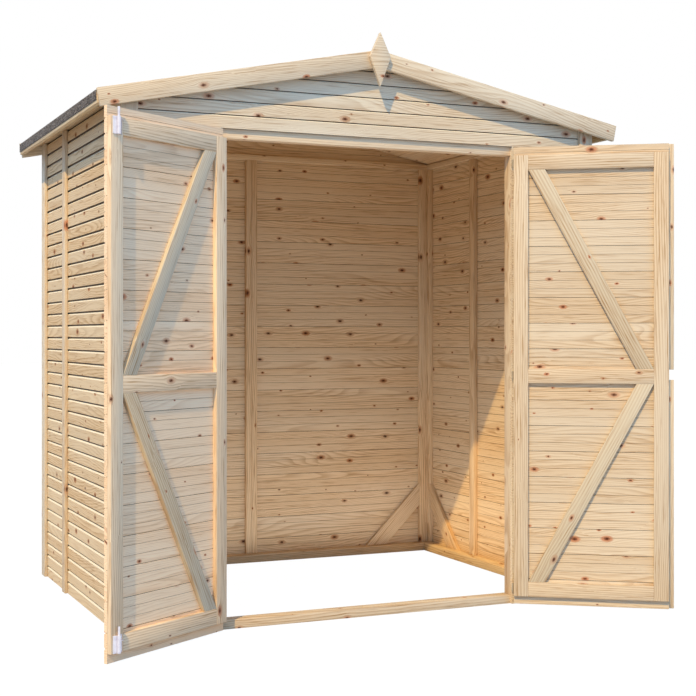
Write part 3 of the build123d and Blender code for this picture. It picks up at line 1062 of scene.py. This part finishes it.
@dataclass
class Shed:
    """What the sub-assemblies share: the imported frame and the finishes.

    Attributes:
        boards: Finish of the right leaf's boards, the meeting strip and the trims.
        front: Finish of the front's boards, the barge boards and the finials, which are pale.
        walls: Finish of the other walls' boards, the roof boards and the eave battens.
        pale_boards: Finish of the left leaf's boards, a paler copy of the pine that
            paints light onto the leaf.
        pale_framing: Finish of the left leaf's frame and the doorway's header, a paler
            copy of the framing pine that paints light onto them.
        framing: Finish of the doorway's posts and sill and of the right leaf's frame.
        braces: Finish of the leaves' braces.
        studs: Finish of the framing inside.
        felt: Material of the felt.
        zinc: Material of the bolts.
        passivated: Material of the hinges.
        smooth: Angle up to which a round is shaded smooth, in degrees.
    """

    frame: dict
    boards: PineFinish = boarding("pine_board")
    front: PineFinish = boarding(
        "pine_front", early=paint(237, 226, 204), ruddy=paint(235, 217, 189)
    )
    walls: PineFinish = boarding("pine_wall", **YELLOW_PINE)
    # a paler copy of the board pine: painted light on the left leaf
    pale_boards: PineFinish = boarding(
        "pine_pale_board",
        early=paint(255, 229, 196),
        late=paint(212, 172, 130),
        ruddy=paint(253, 219, 181),
    )
    # a paler copy of the framing pine: painted light on the left leaf's frame and the header
    pale_framing: PineFinish = timber(
        "pine_pale_frame",
        early=paint(250, 228, 196),
        late=paint(198, 160, 119),
        ruddy=paint(248, 218, 181),
    )
    framing: PineFinish = timber("pine_frame")
    braces: PineFinish = timber(
        "pine_brace", early=paint(218, 207, 184), ruddy=paint(216, 198, 168)
    )
    studs: PineFinish = timber("pine_stud", figure=0.8, **YELLOW_PINE)
    felt: Material = field(init=False)
    zinc: Material = field(init=False)
    passivated: Material = field(init=False)
    smooth: float = 32.0

    def __post_init__(self) -> None:
        """Makes the node groups and the materials that have only one form."""
        workshop = PineWorkshop()
        workshop.board_shuffle()
        workshop.pine_figure()
        self.felt = FeltFinish().material()
        self.zinc = ZincFinish().material()
        passivated = ZincFinish(
            "passivated_zinc", bright=paint(198, 188, 166), dull=paint(180, 170, 148)
        )
        self.passivated = passivated.material()

    def joint(self, name: str) -> dict:
        """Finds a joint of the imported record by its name."""
        return next(joint for joint in self.frame["joints"] if joint["name"] == name)

    def fit(
        self, piece: Piece, body: str, material: Material, slot: str, nodes: Sequence[str] = ()
    ) -> None:
        """Gives a finished piece its material and its body, and reports it.

        Args:
            piece: The piece.
            body: The body that it rides on.
            material: Its material.
            slot: The record's material slot; not used.
            nodes: The CAD nodes that it stands for.
        """
        Bench.hold(piece)
        bpy.ops.object.shade_smooth_by_angle(angle=radians(self.smooth))
        piece.data.materials.clear()
        piece.data.materials.append(material)
        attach(piece, body)
        if nodes:
            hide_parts(*nodes)
        LOG.info("%s: %d faces on %s", piece.name, len(piece.data.polygons), body)


# ---------------------------------------------------------------- boards


@dataclass
class Shiplap:
    """One stack of double shiplap boards, made on the bench.

    The bench has the outer face at y = 0, the boards along x and upwards along z. Each board
    shows two laps outside and three flats inside, parted by a fine groove.

    Attributes:
        thickness: Thickness of a board.
        pitch: Height that one lap covers; a board covers two.
        recess: Height of the shadow gap under each lap.
        chamfer: Width of the chamfer below the gap.
        tongue: Depth from the outer face to the back of the gap.
        tongue_back: Depth from the outer face to the tongue's back.
        inner_gap: Height of the open joint on the inner face.
        groove: Width of the fine grooves on the inner face.
        groove_depth: Depth of those grooves.
        arris: Width of the eased edges.
        sliver: Share of a board that isn't worth another board.
        leaning: Cosine from which a face leans towards an axis.
        facing: Cosine from which a face faces an axis's way.
        skin: Depth under the inner face up to which a face belongs to it.
    """

    thickness: float
    pitch: float
    recess: float = 0.0056
    chamfer: float = 0.0050
    tongue: float = 0.0066
    tongue_back: float = 0.0090
    inner_gap: float = 0.0015
    groove: float = 0.0015
    groove_depth: float = 0.0015
    arris: float = 0.0006
    sliver: float = 0.001
    leaning: float = 0.3
    facing: float = 0.5
    skin: float = 0.001

    def half(self, name: str, start: float, end: float, bottom: float, upper: bool) -> Piece:
        """Makes the lower or the upper half of a board, which is one lap.

        Args:
            name: The half's name.
            start: Where it starts along the bench.
            end: Where it ends.
            bottom: Height of its lower edge.
            upper: Whether it is the upper half, which ends in the tongue and the open joint.

        Returns:
            The half.
        """
        top = bottom + self.pitch
        shoulder = top - self.recess
        crest = top - self.inner_gap if upper else top
        inner = self.thickness - NEAR
        piece = Bench.block(name, (start, 0.0, bottom), (end, self.thickness, shoulder))
        Bench.plane_edges(
            piece,
            self.chamfer,
            lambda mid, way: abs(way.x) > ALIGNED and mid.y < NEAR and mid.z > shoulder - NEAR,
        )
        self.step(piece, shoulder, self.tongue, crest, behind=True)
        if upper:
            self.step(piece, crest, self.tongue_back, top, behind=False)
        eased = crest if upper else bottom
        Bench.plane_edges(
            piece,
            self.arris,
            lambda mid, way: abs(way.x) > ALIGNED
            and (
                (mid.y > inner and abs(mid.z - eased) < NEAR)
                or (mid.y < NEAR and mid.z < bottom + NEAR)
            ),
        )
        line = bottom + self.pitch * (1 if upper else 2) / 3
        for level in (line - self.groove / 2, line, line + self.groove / 2):
            Bench.score(
                piece,
                (0.0, 0.0, level),
                (0.0, 0.0, 1.0),
                lambda mid, normal: abs(normal.x) > ALIGNED
                or (normal.y > ALIGNED and mid.y > inner),
            )
        Bench.pick(
            piece,
            "EDGE",
            lambda mid, way: abs(way.x) > ALIGNED and mid.y > inner and abs(mid.z - line) < NEAR,
        )
        bpy.ops.transform.translate(value=(0.0, -self.groove_depth, 0.0))
        Bench.leave()
        self.mark(piece, bottom, shoulder, line)
        return piece

    @staticmethod
    def step(piece: Piece, level: float, depth: float, crest: float, behind: bool) -> None:
        """Raises the part of a ledge in front of a depth, or behind it, to a higher level.

        Args:
            piece: One half of a board.
            level: Height of the ledge.
            depth: Depth of the step from the outer face.
            crest: Height that the raised part reaches.
            behind: Whether the part behind the step is raised.
        """
        Bench.score(
            piece,
            (0.0, depth, 0.0),
            (0.0, 1.0, 0.0),
            lambda mid, normal: normal.z > ALIGNED and mid.z > level - NEAR,
        )
        Bench.raise_faces(
            piece,
            crest - level,
            lambda mid, normal: normal.z > ALIGNED
            and mid.z > level - NEAR
            and (mid.y > depth) == behind,
        )

    def mark(self, piece: Piece, bottom: float, shoulder: float, line: float) -> None:
        """Marks the faces in a gap or a groove, which get painted shade, and the chamfers, which
        get a painted highlight.

        Args:
            piece: One half of a board.
            bottom: Height of its lower edge.
            shoulder: Height of the ledge in front of its tongue.
            line: Height of its fine groove.
        """
        seam = piece.data.attributes.new("seam", "FLOAT", "FACE")
        for face, share in zip(piece.data.polygons, seam.data):
            middle, way = face.center, face.normal
            hidden = way.y < self.facing or middle.y < self.thickness - self.skin
            above = middle.z > shoulder - NEAR and abs(way.x) < self.facing and hidden
            under = way.z < -ALIGNED and middle.z < bottom + NEAR
            steep = abs(middle.z - line) < self.groove and abs(way.z) > self.leaning
            cut = Cut.PLANED
            if above or under:
                cut = Cut.GAP
            elif steep and middle.y > self.thickness / 2:
                cut = Cut.GROOVE
            elif way.y < -self.leaning and way.z > self.leaning:
                cut = Cut.CHAMFER
            share.value = cut.value

    def stack(self, name: str, start: float, end: float, bottom: float, top: float) -> Piece:
        """Stacks boards from one height to another and saws the last one to height.

        Args:
            name: The stack's name.
            start: Where the boards start along the bench.
            end: Where they end.
            bottom: Lowest height.
            top: Highest height.

        Returns:
            The stack.
        """
        lower = self.half(name, start, end, bottom, False)
        upper = self.half(name, start, end, bottom + self.pitch, True)
        piece = Bench.join([lower, upper], name)
        cover = 2 * self.pitch
        count = max(1, ceil((top - bottom) / cover - self.sliver))
        Bench.repeat(piece, count, (0.0, 0.0, cover))
        if bottom + count * cover > top + 2 * NEAR:
            Bench.saw(piece, (0.0, 0.0, top), (0.0, 0.0, 1.0))
        return piece


@dataclass
class BoardedShell:
    """The shell's boarded faces.

    Attributes:
        shed: What the sub-assemblies share.
        courses: Number of laps between the ground and the gable boards' lower edge.
        lipping: Width of the strip that closes the boards' ends at the doorway.
        post_width: Width of a door post, which the boards beside the doorway cover.
        fine_recess: Height of the shadow gaps at the front and on the leaves.
        fine_chamfer: Width of the chamfers there.
        fine_tongue: Depth of the gaps there.
    """

    shed: Shed
    courses: int = 36
    lipping: float = 0.006
    post_width: float = 0.04
    fine_recess: float = 0.0030
    fine_chamfer: float = 0.0030
    fine_tongue: float = 0.0046

    def __post_init__(self) -> None:
        """Reads the boards' thickness and pitch from the frame."""
        self.gable_low, self.gable_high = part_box("front_gable_boards")
        side_low, side_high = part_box("left_wall_boards")
        self.pitch = self.gable_low[2] / self.courses
        self.eaves = side_high[2]
        thickness = side_high[0] - side_low[0]
        self.shiplap = Shiplap(thickness, self.pitch)
        self.fine_shiplap = Shiplap(
            thickness,
            self.pitch,
            recess=self.fine_recess,
            chamfer=self.fine_chamfer,
            tongue=self.fine_tongue,
        )

    def lie(self, grain: Grain) -> Lie:
        """How the boards of one wall lie."""
        return Lie(f"courses_{grain.name.lower()}", grain, board=2 * self.pitch)

    def crop_to_roof(self, piece: Piece) -> None:
        """Saws a gable's boards to the two slopes of the roof.

        Args:
            piece: The boards.
        """
        rise = self.gable_high[2] - self.eaves
        run = self.gable_high[0]
        steep = hypot(rise, run)
        for side in Side:
            waste = (side.value * rise / steep, 0.0, run / steep)
            Bench.saw(piece, (0.0, 0.0, self.gable_high[2]), waste)

    def side_walls(self) -> None:
        """Boards the two side walls."""
        material = self.shed.walls.material(self.lie(Grain.ALONG_Y))
        for side in Side:
            node = f"{side.word}_wall_boards"
            low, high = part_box(node)
            piece = self.shiplap.stack(
                f"{side.word}_wall_shiplap", 0.0, high[1] - low[1], 0.0, high[2]
            )
            corner = (low[0], high[1]) if side is Side.LEFT else (high[0], low[1])
            Bench.place(piece, (0.0, 0.0, side.value * pi / 2), (*corner, 0.0))
            self.shed.fit(piece, "shell", material, BOARDING, [node])

    def back_wall(self) -> None:
        """Boards the back wall up to the ridge."""
        low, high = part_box("back_wall_boards")
        piece = self.shiplap.stack("back_wall_shiplap", 0.0, high[0] - low[0], 0.0, high[2])
        Bench.place(piece, (0.0, 0.0, pi), (high[0], high[1], 0.0))
        self.crop_to_roof(piece)
        material = self.shed.walls.material(self.lie(Grain.ALONG_X))
        self.shed.fit(piece, "shell", material, BOARDING, ["back_wall_boards"])

    def front_wall(self) -> None:
        """Boards the front beside the doorway, and the gable over it."""
        low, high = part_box("front_side_boards")
        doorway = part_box("door_posts")[1][0] - self.post_width
        lip = doorway + self.lipping
        depth = self.fine_shiplap.thickness
        stack = self.fine_shiplap.stack
        parts = [
            stack("front_side_left", low[0], -lip, 0.0, high[2]),
            stack("front_side_right", lip, high[0], 0.0, high[2]),
            Bench.block("left_lipping", (-lip, 0.0, 0.0), (-doorway, depth, high[2])),
            Bench.block("right_lipping", (doorway, 0.0, 0.0), (lip, depth, high[2])),
        ]
        sides = Bench.join(parts, "front_side_shiplap")
        gable_low, gable_high = self.gable_low, self.gable_high
        gable = stack(
            "front_gable_shiplap", gable_low[0], gable_high[0], gable_low[2], gable_high[2]
        )
        for piece in (sides, gable):
            Bench.place(piece, (0.0, 0.0, 0.0), (0.0, low[1], 0.0))
        self.crop_to_roof(gable)
        material = self.shed.front.material(self.lie(Grain.ALONG_X))
        self.shed.fit(sides, "shell", material, BOARDING, ["front_side_boards"])
        self.shed.fit(gable, "shell", material, BOARDING, ["front_gable_boards"])

    def build(self) -> None:
        """Builds every boarded face of the shell."""
        self.side_walls()
        self.back_wall()
        self.front_wall()


@dataclass
class Framing:
    """The shell's framing and trims: eased copies of the plain timbers.

    Attributes:
        shed: What the sub-assemblies share.
        ease: Width of the eased arrises.
    """

    shed: Shed
    ease: float = 0.0013

    def timbers(self) -> list[tuple[str, PineFinish, Lie, str]]:
        """Lists the timbers.

        Returns:
            Each timber's node, finish, lie and material slot.
        """
        studs, framing = self.shed.studs, self.shed.framing
        across = Lie("level_x", Grain.ALONG_X)
        deep = Lie("level_y", Grain.ALONG_Y)
        upright = Lie("upright", Grain.UPRIGHT)
        back_brace = Lie("back_brace", Grain.ALONG_X, (Fold(0), Turn((0.0, pi / 4, 0.0))))
        side_brace = Lie("side_brace", Grain.ALONG_Y, (Turn((-pi / 4, 0.0, 0.0)),))
        frame = (
            ("side_wall_battens", studs, upright),
            ("corner_battens", studs, upright),
            ("back_seam_battens", studs, upright),
            ("door_posts", framing, upright),
            ("side_bottom_plates", studs, deep),
            ("side_top_plates", studs, deep),
            ("back_bottom_plate", studs, across),
            ("gable_top_plates", studs, across),
            ("door_sill", framing, across),
            # the header's paler pine is painted light
            ("door_header", self.shed.pale_framing, across),
            ("back_wall_braces", studs, back_brace),
            ("side_wall_braces", studs, side_brace),
        )
        trims = ("front_corner_trims", "back_corner_trims", "side_wall_trims")
        return [(*listed, FRAMING) for listed in frame] + [
            (node, self.shed.boards, upright, BOARDING) for node in trims
        ]

    def build(self) -> None:
        """Eases and finishes every timber of the shell's frame."""
        for node, finish, lie, slot in self.timbers():
            piece = Bench.eased_copy(node, f"{node}_eased", self.ease)
            self.shed.fit(piece, "shell", finish.material(lie), slot, [node])


@dataclass
class Roof:
    """Roof boards, felt, eave battens, barge boards and finials.

    Attributes:
        shed: What the sub-assemblies share.
        board: Width of a roof board.
        ease: Width of the eased arrises.
        under_chamfer: Width of the chamfers on the roof boards' undersides.
        top_chamfer: Width of the chamfers on their tops.
        felt_ease: Width of the felt's rounded edges.
    """

    shed: Shed
    board: float = 0.094
    ease: float = 0.0013
    under_chamfer: float = 0.0022
    top_chamfer: float = 0.0008
    felt_ease: float = 0.0012

    def __post_init__(self) -> None:
        """Reads the roof's slope from the frame."""
        self.low, self.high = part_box("right_roof_boards")
        gable_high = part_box("front_gable_boards")[1]
        wall_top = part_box("right_wall_boards")[1]
        self.pitch = atan2(gable_high[2] - wall_top[2], gable_high[0])
        self.ridge_under = gable_high[2]

    def slope_boards(self, side: Side) -> Piece:
        """Lays the boards of one slope, from the eaves to the ridge.

        Args:
            side: The slope's side.

        Returns:
            The slope's boards.
        """
        length = self.high[0] / cos(self.pitch)
        thickness = (self.high[2] - self.ridge_under) * cos(self.pitch)
        low, high = (0.0, self.low[1], 0.0), (self.board, self.high[1], thickness)
        board = Bench.block(f"{side.word}_roof_planks", low, high)
        Bench.plane_edges(
            board, self.under_chamfer, lambda mid, way: abs(way.y) > ALIGNED and mid.z < NEAR
        )
        Bench.plane_edges(
            board,
            self.top_chamfer,
            lambda mid, way: abs(way.y) > ALIGNED and mid.z > thickness - NEAR,
        )
        Bench.leave()
        Bench.repeat(board, int(length / self.board) + 1, (self.board, 0.0, 0.0))
        Bench.place(board, (0.0, self.pitch, 0.0), (0.0, 0.0, self.ridge_under))
        Bench.saw(board, (self.high[0], 0.0, 0.0), (1.0, 0.0, 0.0))
        Bench.saw(board, (0.0, 0.0, 0.0), (-1.0, 0.0, 0.0))
        if side is Side.LEFT:
            Bench.place(board, (0.0, 0.0, pi), (0.0, self.low[1] + self.high[1], 0.0))
        return board

    def build(self) -> None:
        """Builds the roof."""
        steps = (Fold(0), Turn((0.0, -self.pitch, 0.0)))
        slope = Lie("roof_slope", Grain.ALONG_Y_FLAT, steps, board=self.board)
        planks = self.shed.walls.material(slope)
        for side in Side:
            piece = self.slope_boards(side)
            self.shed.fit(piece, "shell", planks, BOARDING, [f"{side.word}_roof_boards"])
            node = f"{side.word}_roof_felt"
            felt = Bench.eased_copy(node, f"{side.word}_roof_sheet", self.felt_ease)
            self.shed.fit(felt, "shell", self.shed.felt, FELT, [node])
        barge = Lie("barge", Grain.ALONG_X, steps)
        finial = Lie("level_x", Grain.ALONG_X)
        for node, lie, finish in (
            ("eave_battens", Lie("level_y", Grain.ALONG_Y), self.shed.walls),
            ("front_barge_boards", barge, self.shed.front),
            ("back_barge_boards", barge, self.shed.front),
            ("front_finial", finial, self.shed.front),
            ("back_finial", finial, self.shed.front),
        ):
            piece = Bench.eased_copy(node, f"{node}_eased", self.ease)
            self.shed.fit(piece, "shell", finish.material(lie), BOARDING, [node])


@dataclass
class DoorLeaf:
    """One door leaf: boards, frame, braces and the screws of its straps.

    Attributes:
        shed: What the sub-assemblies share.
        side: The leaf's side.
        shiplap: The boards, the same as the front's.
        hinge_gap: Gap between the hinge pin and the leaf's edge.
        lipping: Width of the strip that closes the boards' ends at the hinges.
        ease: Width of the eased arrises.
        brace_slope: How far the braces are from level, in degrees.
        strap: Thickness of the hinge straps.
        screw_distances: How far the straps' screws are from the hinge pin.
    """

    shed: Shed
    side: Side
    shiplap: Shiplap
    hinge_gap: float = 0.005
    lipping: float = 0.003
    ease: float = 0.0013
    brace_slope: float = 61.9
    strap: float = 0.002
    screw_distances: tuple[float, ...] = (0.03, 0.1, 0.17, 0.235)

    def __post_init__(self) -> None:
        """Reads the leaf's hinge, opening and heights from the frame."""
        left = self.side is Side.LEFT
        self.body = f"{self.side.word}_door"
        joint = self.shed.joint(f"{self.body}_hinge")
        self.pin = joint["pos_m"]
        self.open = -radians(joint["range_deg"][0])
        low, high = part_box(f"{self.body}_boards")
        self.low, self.high = low[2], high[2]
        self.end = abs((low if left else high)[0] - self.pin[0]) / abs(cos(self.open))
        self.turn = self.open if left else pi - self.open
        # the left leaf takes the paler copies of the pine, which are painted light
        self.finish = self.shed.pale_boards if left else self.shed.boards
        self.frame_finish = self.shed.pale_framing if left else self.shed.framing

    def hang(self, piece: Piece) -> None:
        """Brings a piece from the bench to the leaf's place on its hinges."""
        turn = (0.0, 0.0, self.side.value * self.open)
        Bench.place(piece, turn, (self.pin[0], self.pin[1], 0.0))

    def lie(
        self, name: str, grain: Grain, *steps: Union[Turn, Fold], board: float = 0.0
    ) -> Lie:
        """How a timber of this leaf lies, once the leaf is turned square.

        Args:
            name: A word for the material's name.
            grain: The run of the grain.
            steps: Turns and folds after the leaf's own turn.
            board: Width of its separate boards, or 0 for a single timber.

        Returns:
            The lie.
        """
        square = Turn((0.0, 0.0, self.turn))
        name = f"{self.side.word}_leaf_{name}"
        return Lie(name, grain, (square, *steps), board=board, start=self.low)

    def boards(self) -> None:
        """Boards the leaf's outer face."""
        name = f"{self.body}_shiplap"
        lipped = self.hinge_gap + self.lipping
        ends, lip = (lipped, self.end), (self.hinge_gap, lipped)
        if self.side is Side.RIGHT:
            ends, lip = (tuple(-end for end in reversed(pair)) for pair in (ends, lip))
        stack = self.shiplap.stack(name, *ends, self.low, self.high)
        high = (lip[1], self.shiplap.thickness, self.high)
        edge = Bench.block("lipping", (lip[0], 0.0, self.low), high)
        piece = Bench.join([stack, edge], name)
        self.hang(piece)
        lie = self.lie("boards", Grain.ALONG_X, board=2 * self.shiplap.pitch)
        material = self.finish.material(lie)
        self.shed.fit(piece, self.body, material, BOARDING, [f"{self.body}_boards"])

    def frame(self) -> None:
        """Eases and finishes the stiles, rails and braces, and the right leaf's meeting strip."""
        rails_low, rails_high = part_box(f"{self.body}_rails")
        middle = Fold(2, (rails_low[2] + rails_high[2]) / 2)
        slant = Turn((0.0, -radians(self.brace_slope), 0.0))
        upright = self.lie("upright", Grain.UPRIGHT)
        level = self.lie("level", Grain.ALONG_X)
        brace = self.lie("brace", Grain.ALONG_X, middle, slant)
        timbers = [
            (f"{self.body}_stiles", self.frame_finish, upright, FRAMING),
            (f"{self.body}_rails", self.frame_finish, level, FRAMING),
            (f"{self.body}_braces", self.shed.braces, brace, FRAMING),
        ]
        if self.side is Side.RIGHT:
            timbers.append(("meeting_strip", self.finish, upright, BOARDING))
        for node, finish, lie, slot in timbers:
            piece = Bench.eased_copy(node, f"{node}_eased", self.ease)
            self.shed.fit(piece, self.body, finish.material(lie), slot, [node])

    def strap_screws(self) -> None:
        """Screws the straps to the leaf."""
        spots = [
            (-self.side.value * distance, -self.strap, height)
            for height in Bench.levels(f"{self.body}_straps")
            for distance in self.screw_distances
        ]
        heads = Bench.screws(f"{self.side.word}_strap_screws", spots)
        self.hang(heads)
        self.shed.fit(heads, self.body, self.shed.passivated, ZINC)

    def build(self) -> None:
        """Builds the leaf."""
        self.boards()
        self.frame()
        self.strap_screws()


@dataclass
class Ironmongery:
    """Hinges and shoot bolts in zinc plate, and the screws of the hinges' wall plates.

    Attributes:
        shed: What the sub-assemblies share.
        ease: Width of the rounded edges.
        plate: Thickness of the wall plates.
        screw_reach: How far their screws are from the hinge pin.
        screw_lift: How far their screws are above and below the plates' middle.
    """

    shed: Shed
    ease: float = 0.0003
    plate: float = 0.002
    screw_reach: float = 0.021
    screw_lift: float = 0.0095

    def build(self) -> None:
        """Eases and plates every metal piece."""
        for node, body, material in (
            ("hinge_wall_plates", "shell", self.shed.passivated),
            ("left_door_straps", "left_door", self.shed.passivated),
            ("right_door_straps", "right_door", self.shed.passivated),
            ("left_door_bolt_guides", "left_door", self.shed.zinc),
            ("top_bolt", "top_bolt", self.shed.zinc),
            ("bottom_bolt", "bottom_bolt", self.shed.zinc),
        ):
            piece = Bench.eased_copy(node, f"{node}_plated", self.ease, 1)
            self.shed.fit(piece, body, material, ZINC, [node])
        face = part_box("front_side_boards")[0][1] - self.plate
        pin = self.shed.joint("right_door_hinge")["pos_m"][0]
        spots = [
            (side.value * (pin + self.screw_reach), face, height + lift)
            for side in Side
            for height in Bench.levels("hinge_wall_plates")
            for lift in (-self.screw_lift, self.screw_lift)
        ]
        heads = Bench.screws("plate_screws", spots)
        self.shed.fit(heads, "shell", self.shed.passivated, ZINC)


# ---------------------------------------------------------------- studio


@dataclass
class Studio:
    """The camera, the light and the pale floor.

    Attributes:
        eye: Where the camera stands, in the shed's frame.
        heading: How far it looks to the right of straight back, in radians.
        lens: Focal length, in millimetres.
        sensor: Width of the sensor, in millimetres.
        lift: Vertical shift of the picture.
        sight: How far the camera sees, in metres.
        sun_way: Direction in which the key light travels.
        sun_angle: How wide the key light is, in degrees.
        key_strength: Strength of the key light.
        key_colour: Colour of the key light.
        sky_colour: Colour of the sky's light.
        sky_strength: Strength of the sky's light.
        fill_place: Where the light from the floor inside the shed starts.
        fill_size: Its width and depth.
        fill_strength: Its strength, in watts.
        fill_colour: Its colour.
        floor_size: Length of the floor's edges.
        floor_place: The floor's middle, just under the ground level.
        floor_grey: How pale the floor is to the light.
        floor_roughness: How matt it is.
        floor_glow: How bright it shows.
        floor_veil: How much of its look is the glow, the rest being shadow and light.
    """

    eye: Triple = (-2.0023, -4.3713, 0.9973)
    heading: float = 0.4141
    lens: float = 69.66
    sensor: float = 36.0
    lift: float = -0.01845
    sight: float = 200.0
    sun_way: Triple = (1.0, 1.0, -1.39)
    sun_angle: float = 0.9
    key_strength: float = 2.9
    key_colour: Colour = (1.0, 0.697, 0.286)
    sky_colour: Colour = (0.418, 0.655, 1.0)
    sky_strength: float = 1.1
    fill_place: Triple = (0.0, 0.62, 0.03)
    fill_size: tuple[float, float] = (1.6, 1.1)
    fill_strength: float = 6.4
    fill_colour: Colour = (0.95, 0.92, 0.95)
    floor_size: float = 60.0
    floor_place: Triple = (0.0, 10.0, -0.0005)
    floor_grey: float = 0.37
    floor_roughness: float = 0.9
    floor_glow: float = 1.1
    floor_veil: float = 0.9

    @staticmethod
    def stand(name: str, data: bpy.types.ID) -> Piece:
        """Puts a camera or a lamp in the scene.

        Args:
            name: Its name.
            data: The camera's or the lamp's data.

        Returns:
            The camera or the lamp.
        """
        item = bpy.data.objects.new(name, data)
        bpy.context.scene.collection.objects.link(item)
        return item

    def camera(self) -> None:
        """Sets up the camera."""
        data = bpy.data.cameras.new("shed_camera")
        data.lens = self.lens
        data.sensor_width = self.sensor
        data.shift_y = self.lift
        data.clip_end = self.sight
        camera = self.stand("shed_camera", data)
        camera.location = self.eye
        camera.rotation_euler = (pi / 2, 0.0, -self.heading)
        bpy.context.scene.camera = camera

    def lamps(self) -> None:
        """Sets up the key light, and the light that a pale floor throws up inside the shed."""
        sun = bpy.data.lights.new("key_light", "SUN")
        sun.energy = self.key_strength
        sun.color = self.key_colour
        sun.angle = radians(self.sun_angle)
        key = self.stand("key_light", sun)
        key.rotation_euler = Vector(self.sun_way).to_track_quat("-Z", "Y").to_euler()
        lamp = bpy.data.lights.new("fill_light", "AREA")
        lamp.shape = "RECTANGLE"
        lamp.size, lamp.size_y = self.fill_size
        lamp.energy = self.fill_strength
        lamp.color = self.fill_colour
        fill = self.stand("fill_light", lamp)
        fill.location = self.fill_place
        fill.rotation_euler = (pi, 0.0, 0.0)
        fill.visible_camera = False

    def sky(self) -> None:
        """Sets up the sky, which lights the shed and shows as white paper."""
        world = bpy.data.worlds.new("studio_sky")
        world.use_nodes = True
        bpy.context.scene.world = world
        desk = Desk(world.node_tree)
        world.node_tree.nodes.clear()
        light = {"Color": self.sky_colour, "Strength": self.sky_strength}
        sky = desk.add("Background", light).outputs[0]
        paper = desk.add("Background", {"Color": WHITE, "Strength": 1.0}).outputs[0]
        desk.add("OutputWorld", {"Surface": desk.veil(self.seen(desk), sky, paper)})

    @staticmethod
    def seen(desk: Desk) -> Socket:
        """Finds the rays that show a background.

        Args:
            desk: Where the nodes go.

        Returns:
            A socket that is 1 for rays from the camera, from gloss and through glass.
        """
        path = desk.add("LightPath")
        either = desk.sum("MAXIMUM", path.outputs["Is Camera Ray"], path.outputs["Is Glossy Ray"])
        return desk.sum("MAXIMUM", either, path.outputs["Is Transmission Ray"])

    def floor(self) -> None:
        """Lays a pale floor that keeps a light shadow."""
        Bench.clear()
        bpy.ops.mesh.primitive_plane_add(size=self.floor_size, location=self.floor_place)
        floor = bpy.context.object
        floor.name = floor.data.name = "studio_floor"
        material, desk, shader = start_material("pale_floor")
        grey = (self.floor_grey,) * 3
        desk.fill(shader, {"Base Color": grey, "Roughness": self.floor_roughness})
        glow = desk.add("Emission", {"Color": WHITE, "Strength": self.floor_glow})
        share = desk.times(self.seen(desk), self.floor_veil)
        surface = desk.veil(share, shader.outputs[0], glow.outputs[0])
        desk.fill(material.node_tree.nodes["Material Output"], {"Surface": surface})
        floor.data.materials.append(material)

    def build(self) -> None:
        """Builds the studio."""
        bpy.context.scene.view_settings.view_transform = "Standard"
        self.camera()
        self.lamps()
        self.sky()
        self.floor()


def main() -> None:
    """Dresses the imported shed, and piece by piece."""
    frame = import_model()
    Studio().build()
    shed = Shed(frame)
    shell = BoardedShell(shed)
    shell.build()
    Framing(shed).build()
    Roof(shed).build()
    for side in Side:
        DoorLeaf(shed, side, shell.fine_shiplap).build()
    Ironmongery(shed).build()
    Bench.clear()


if __name__ == "__main__":
    main()
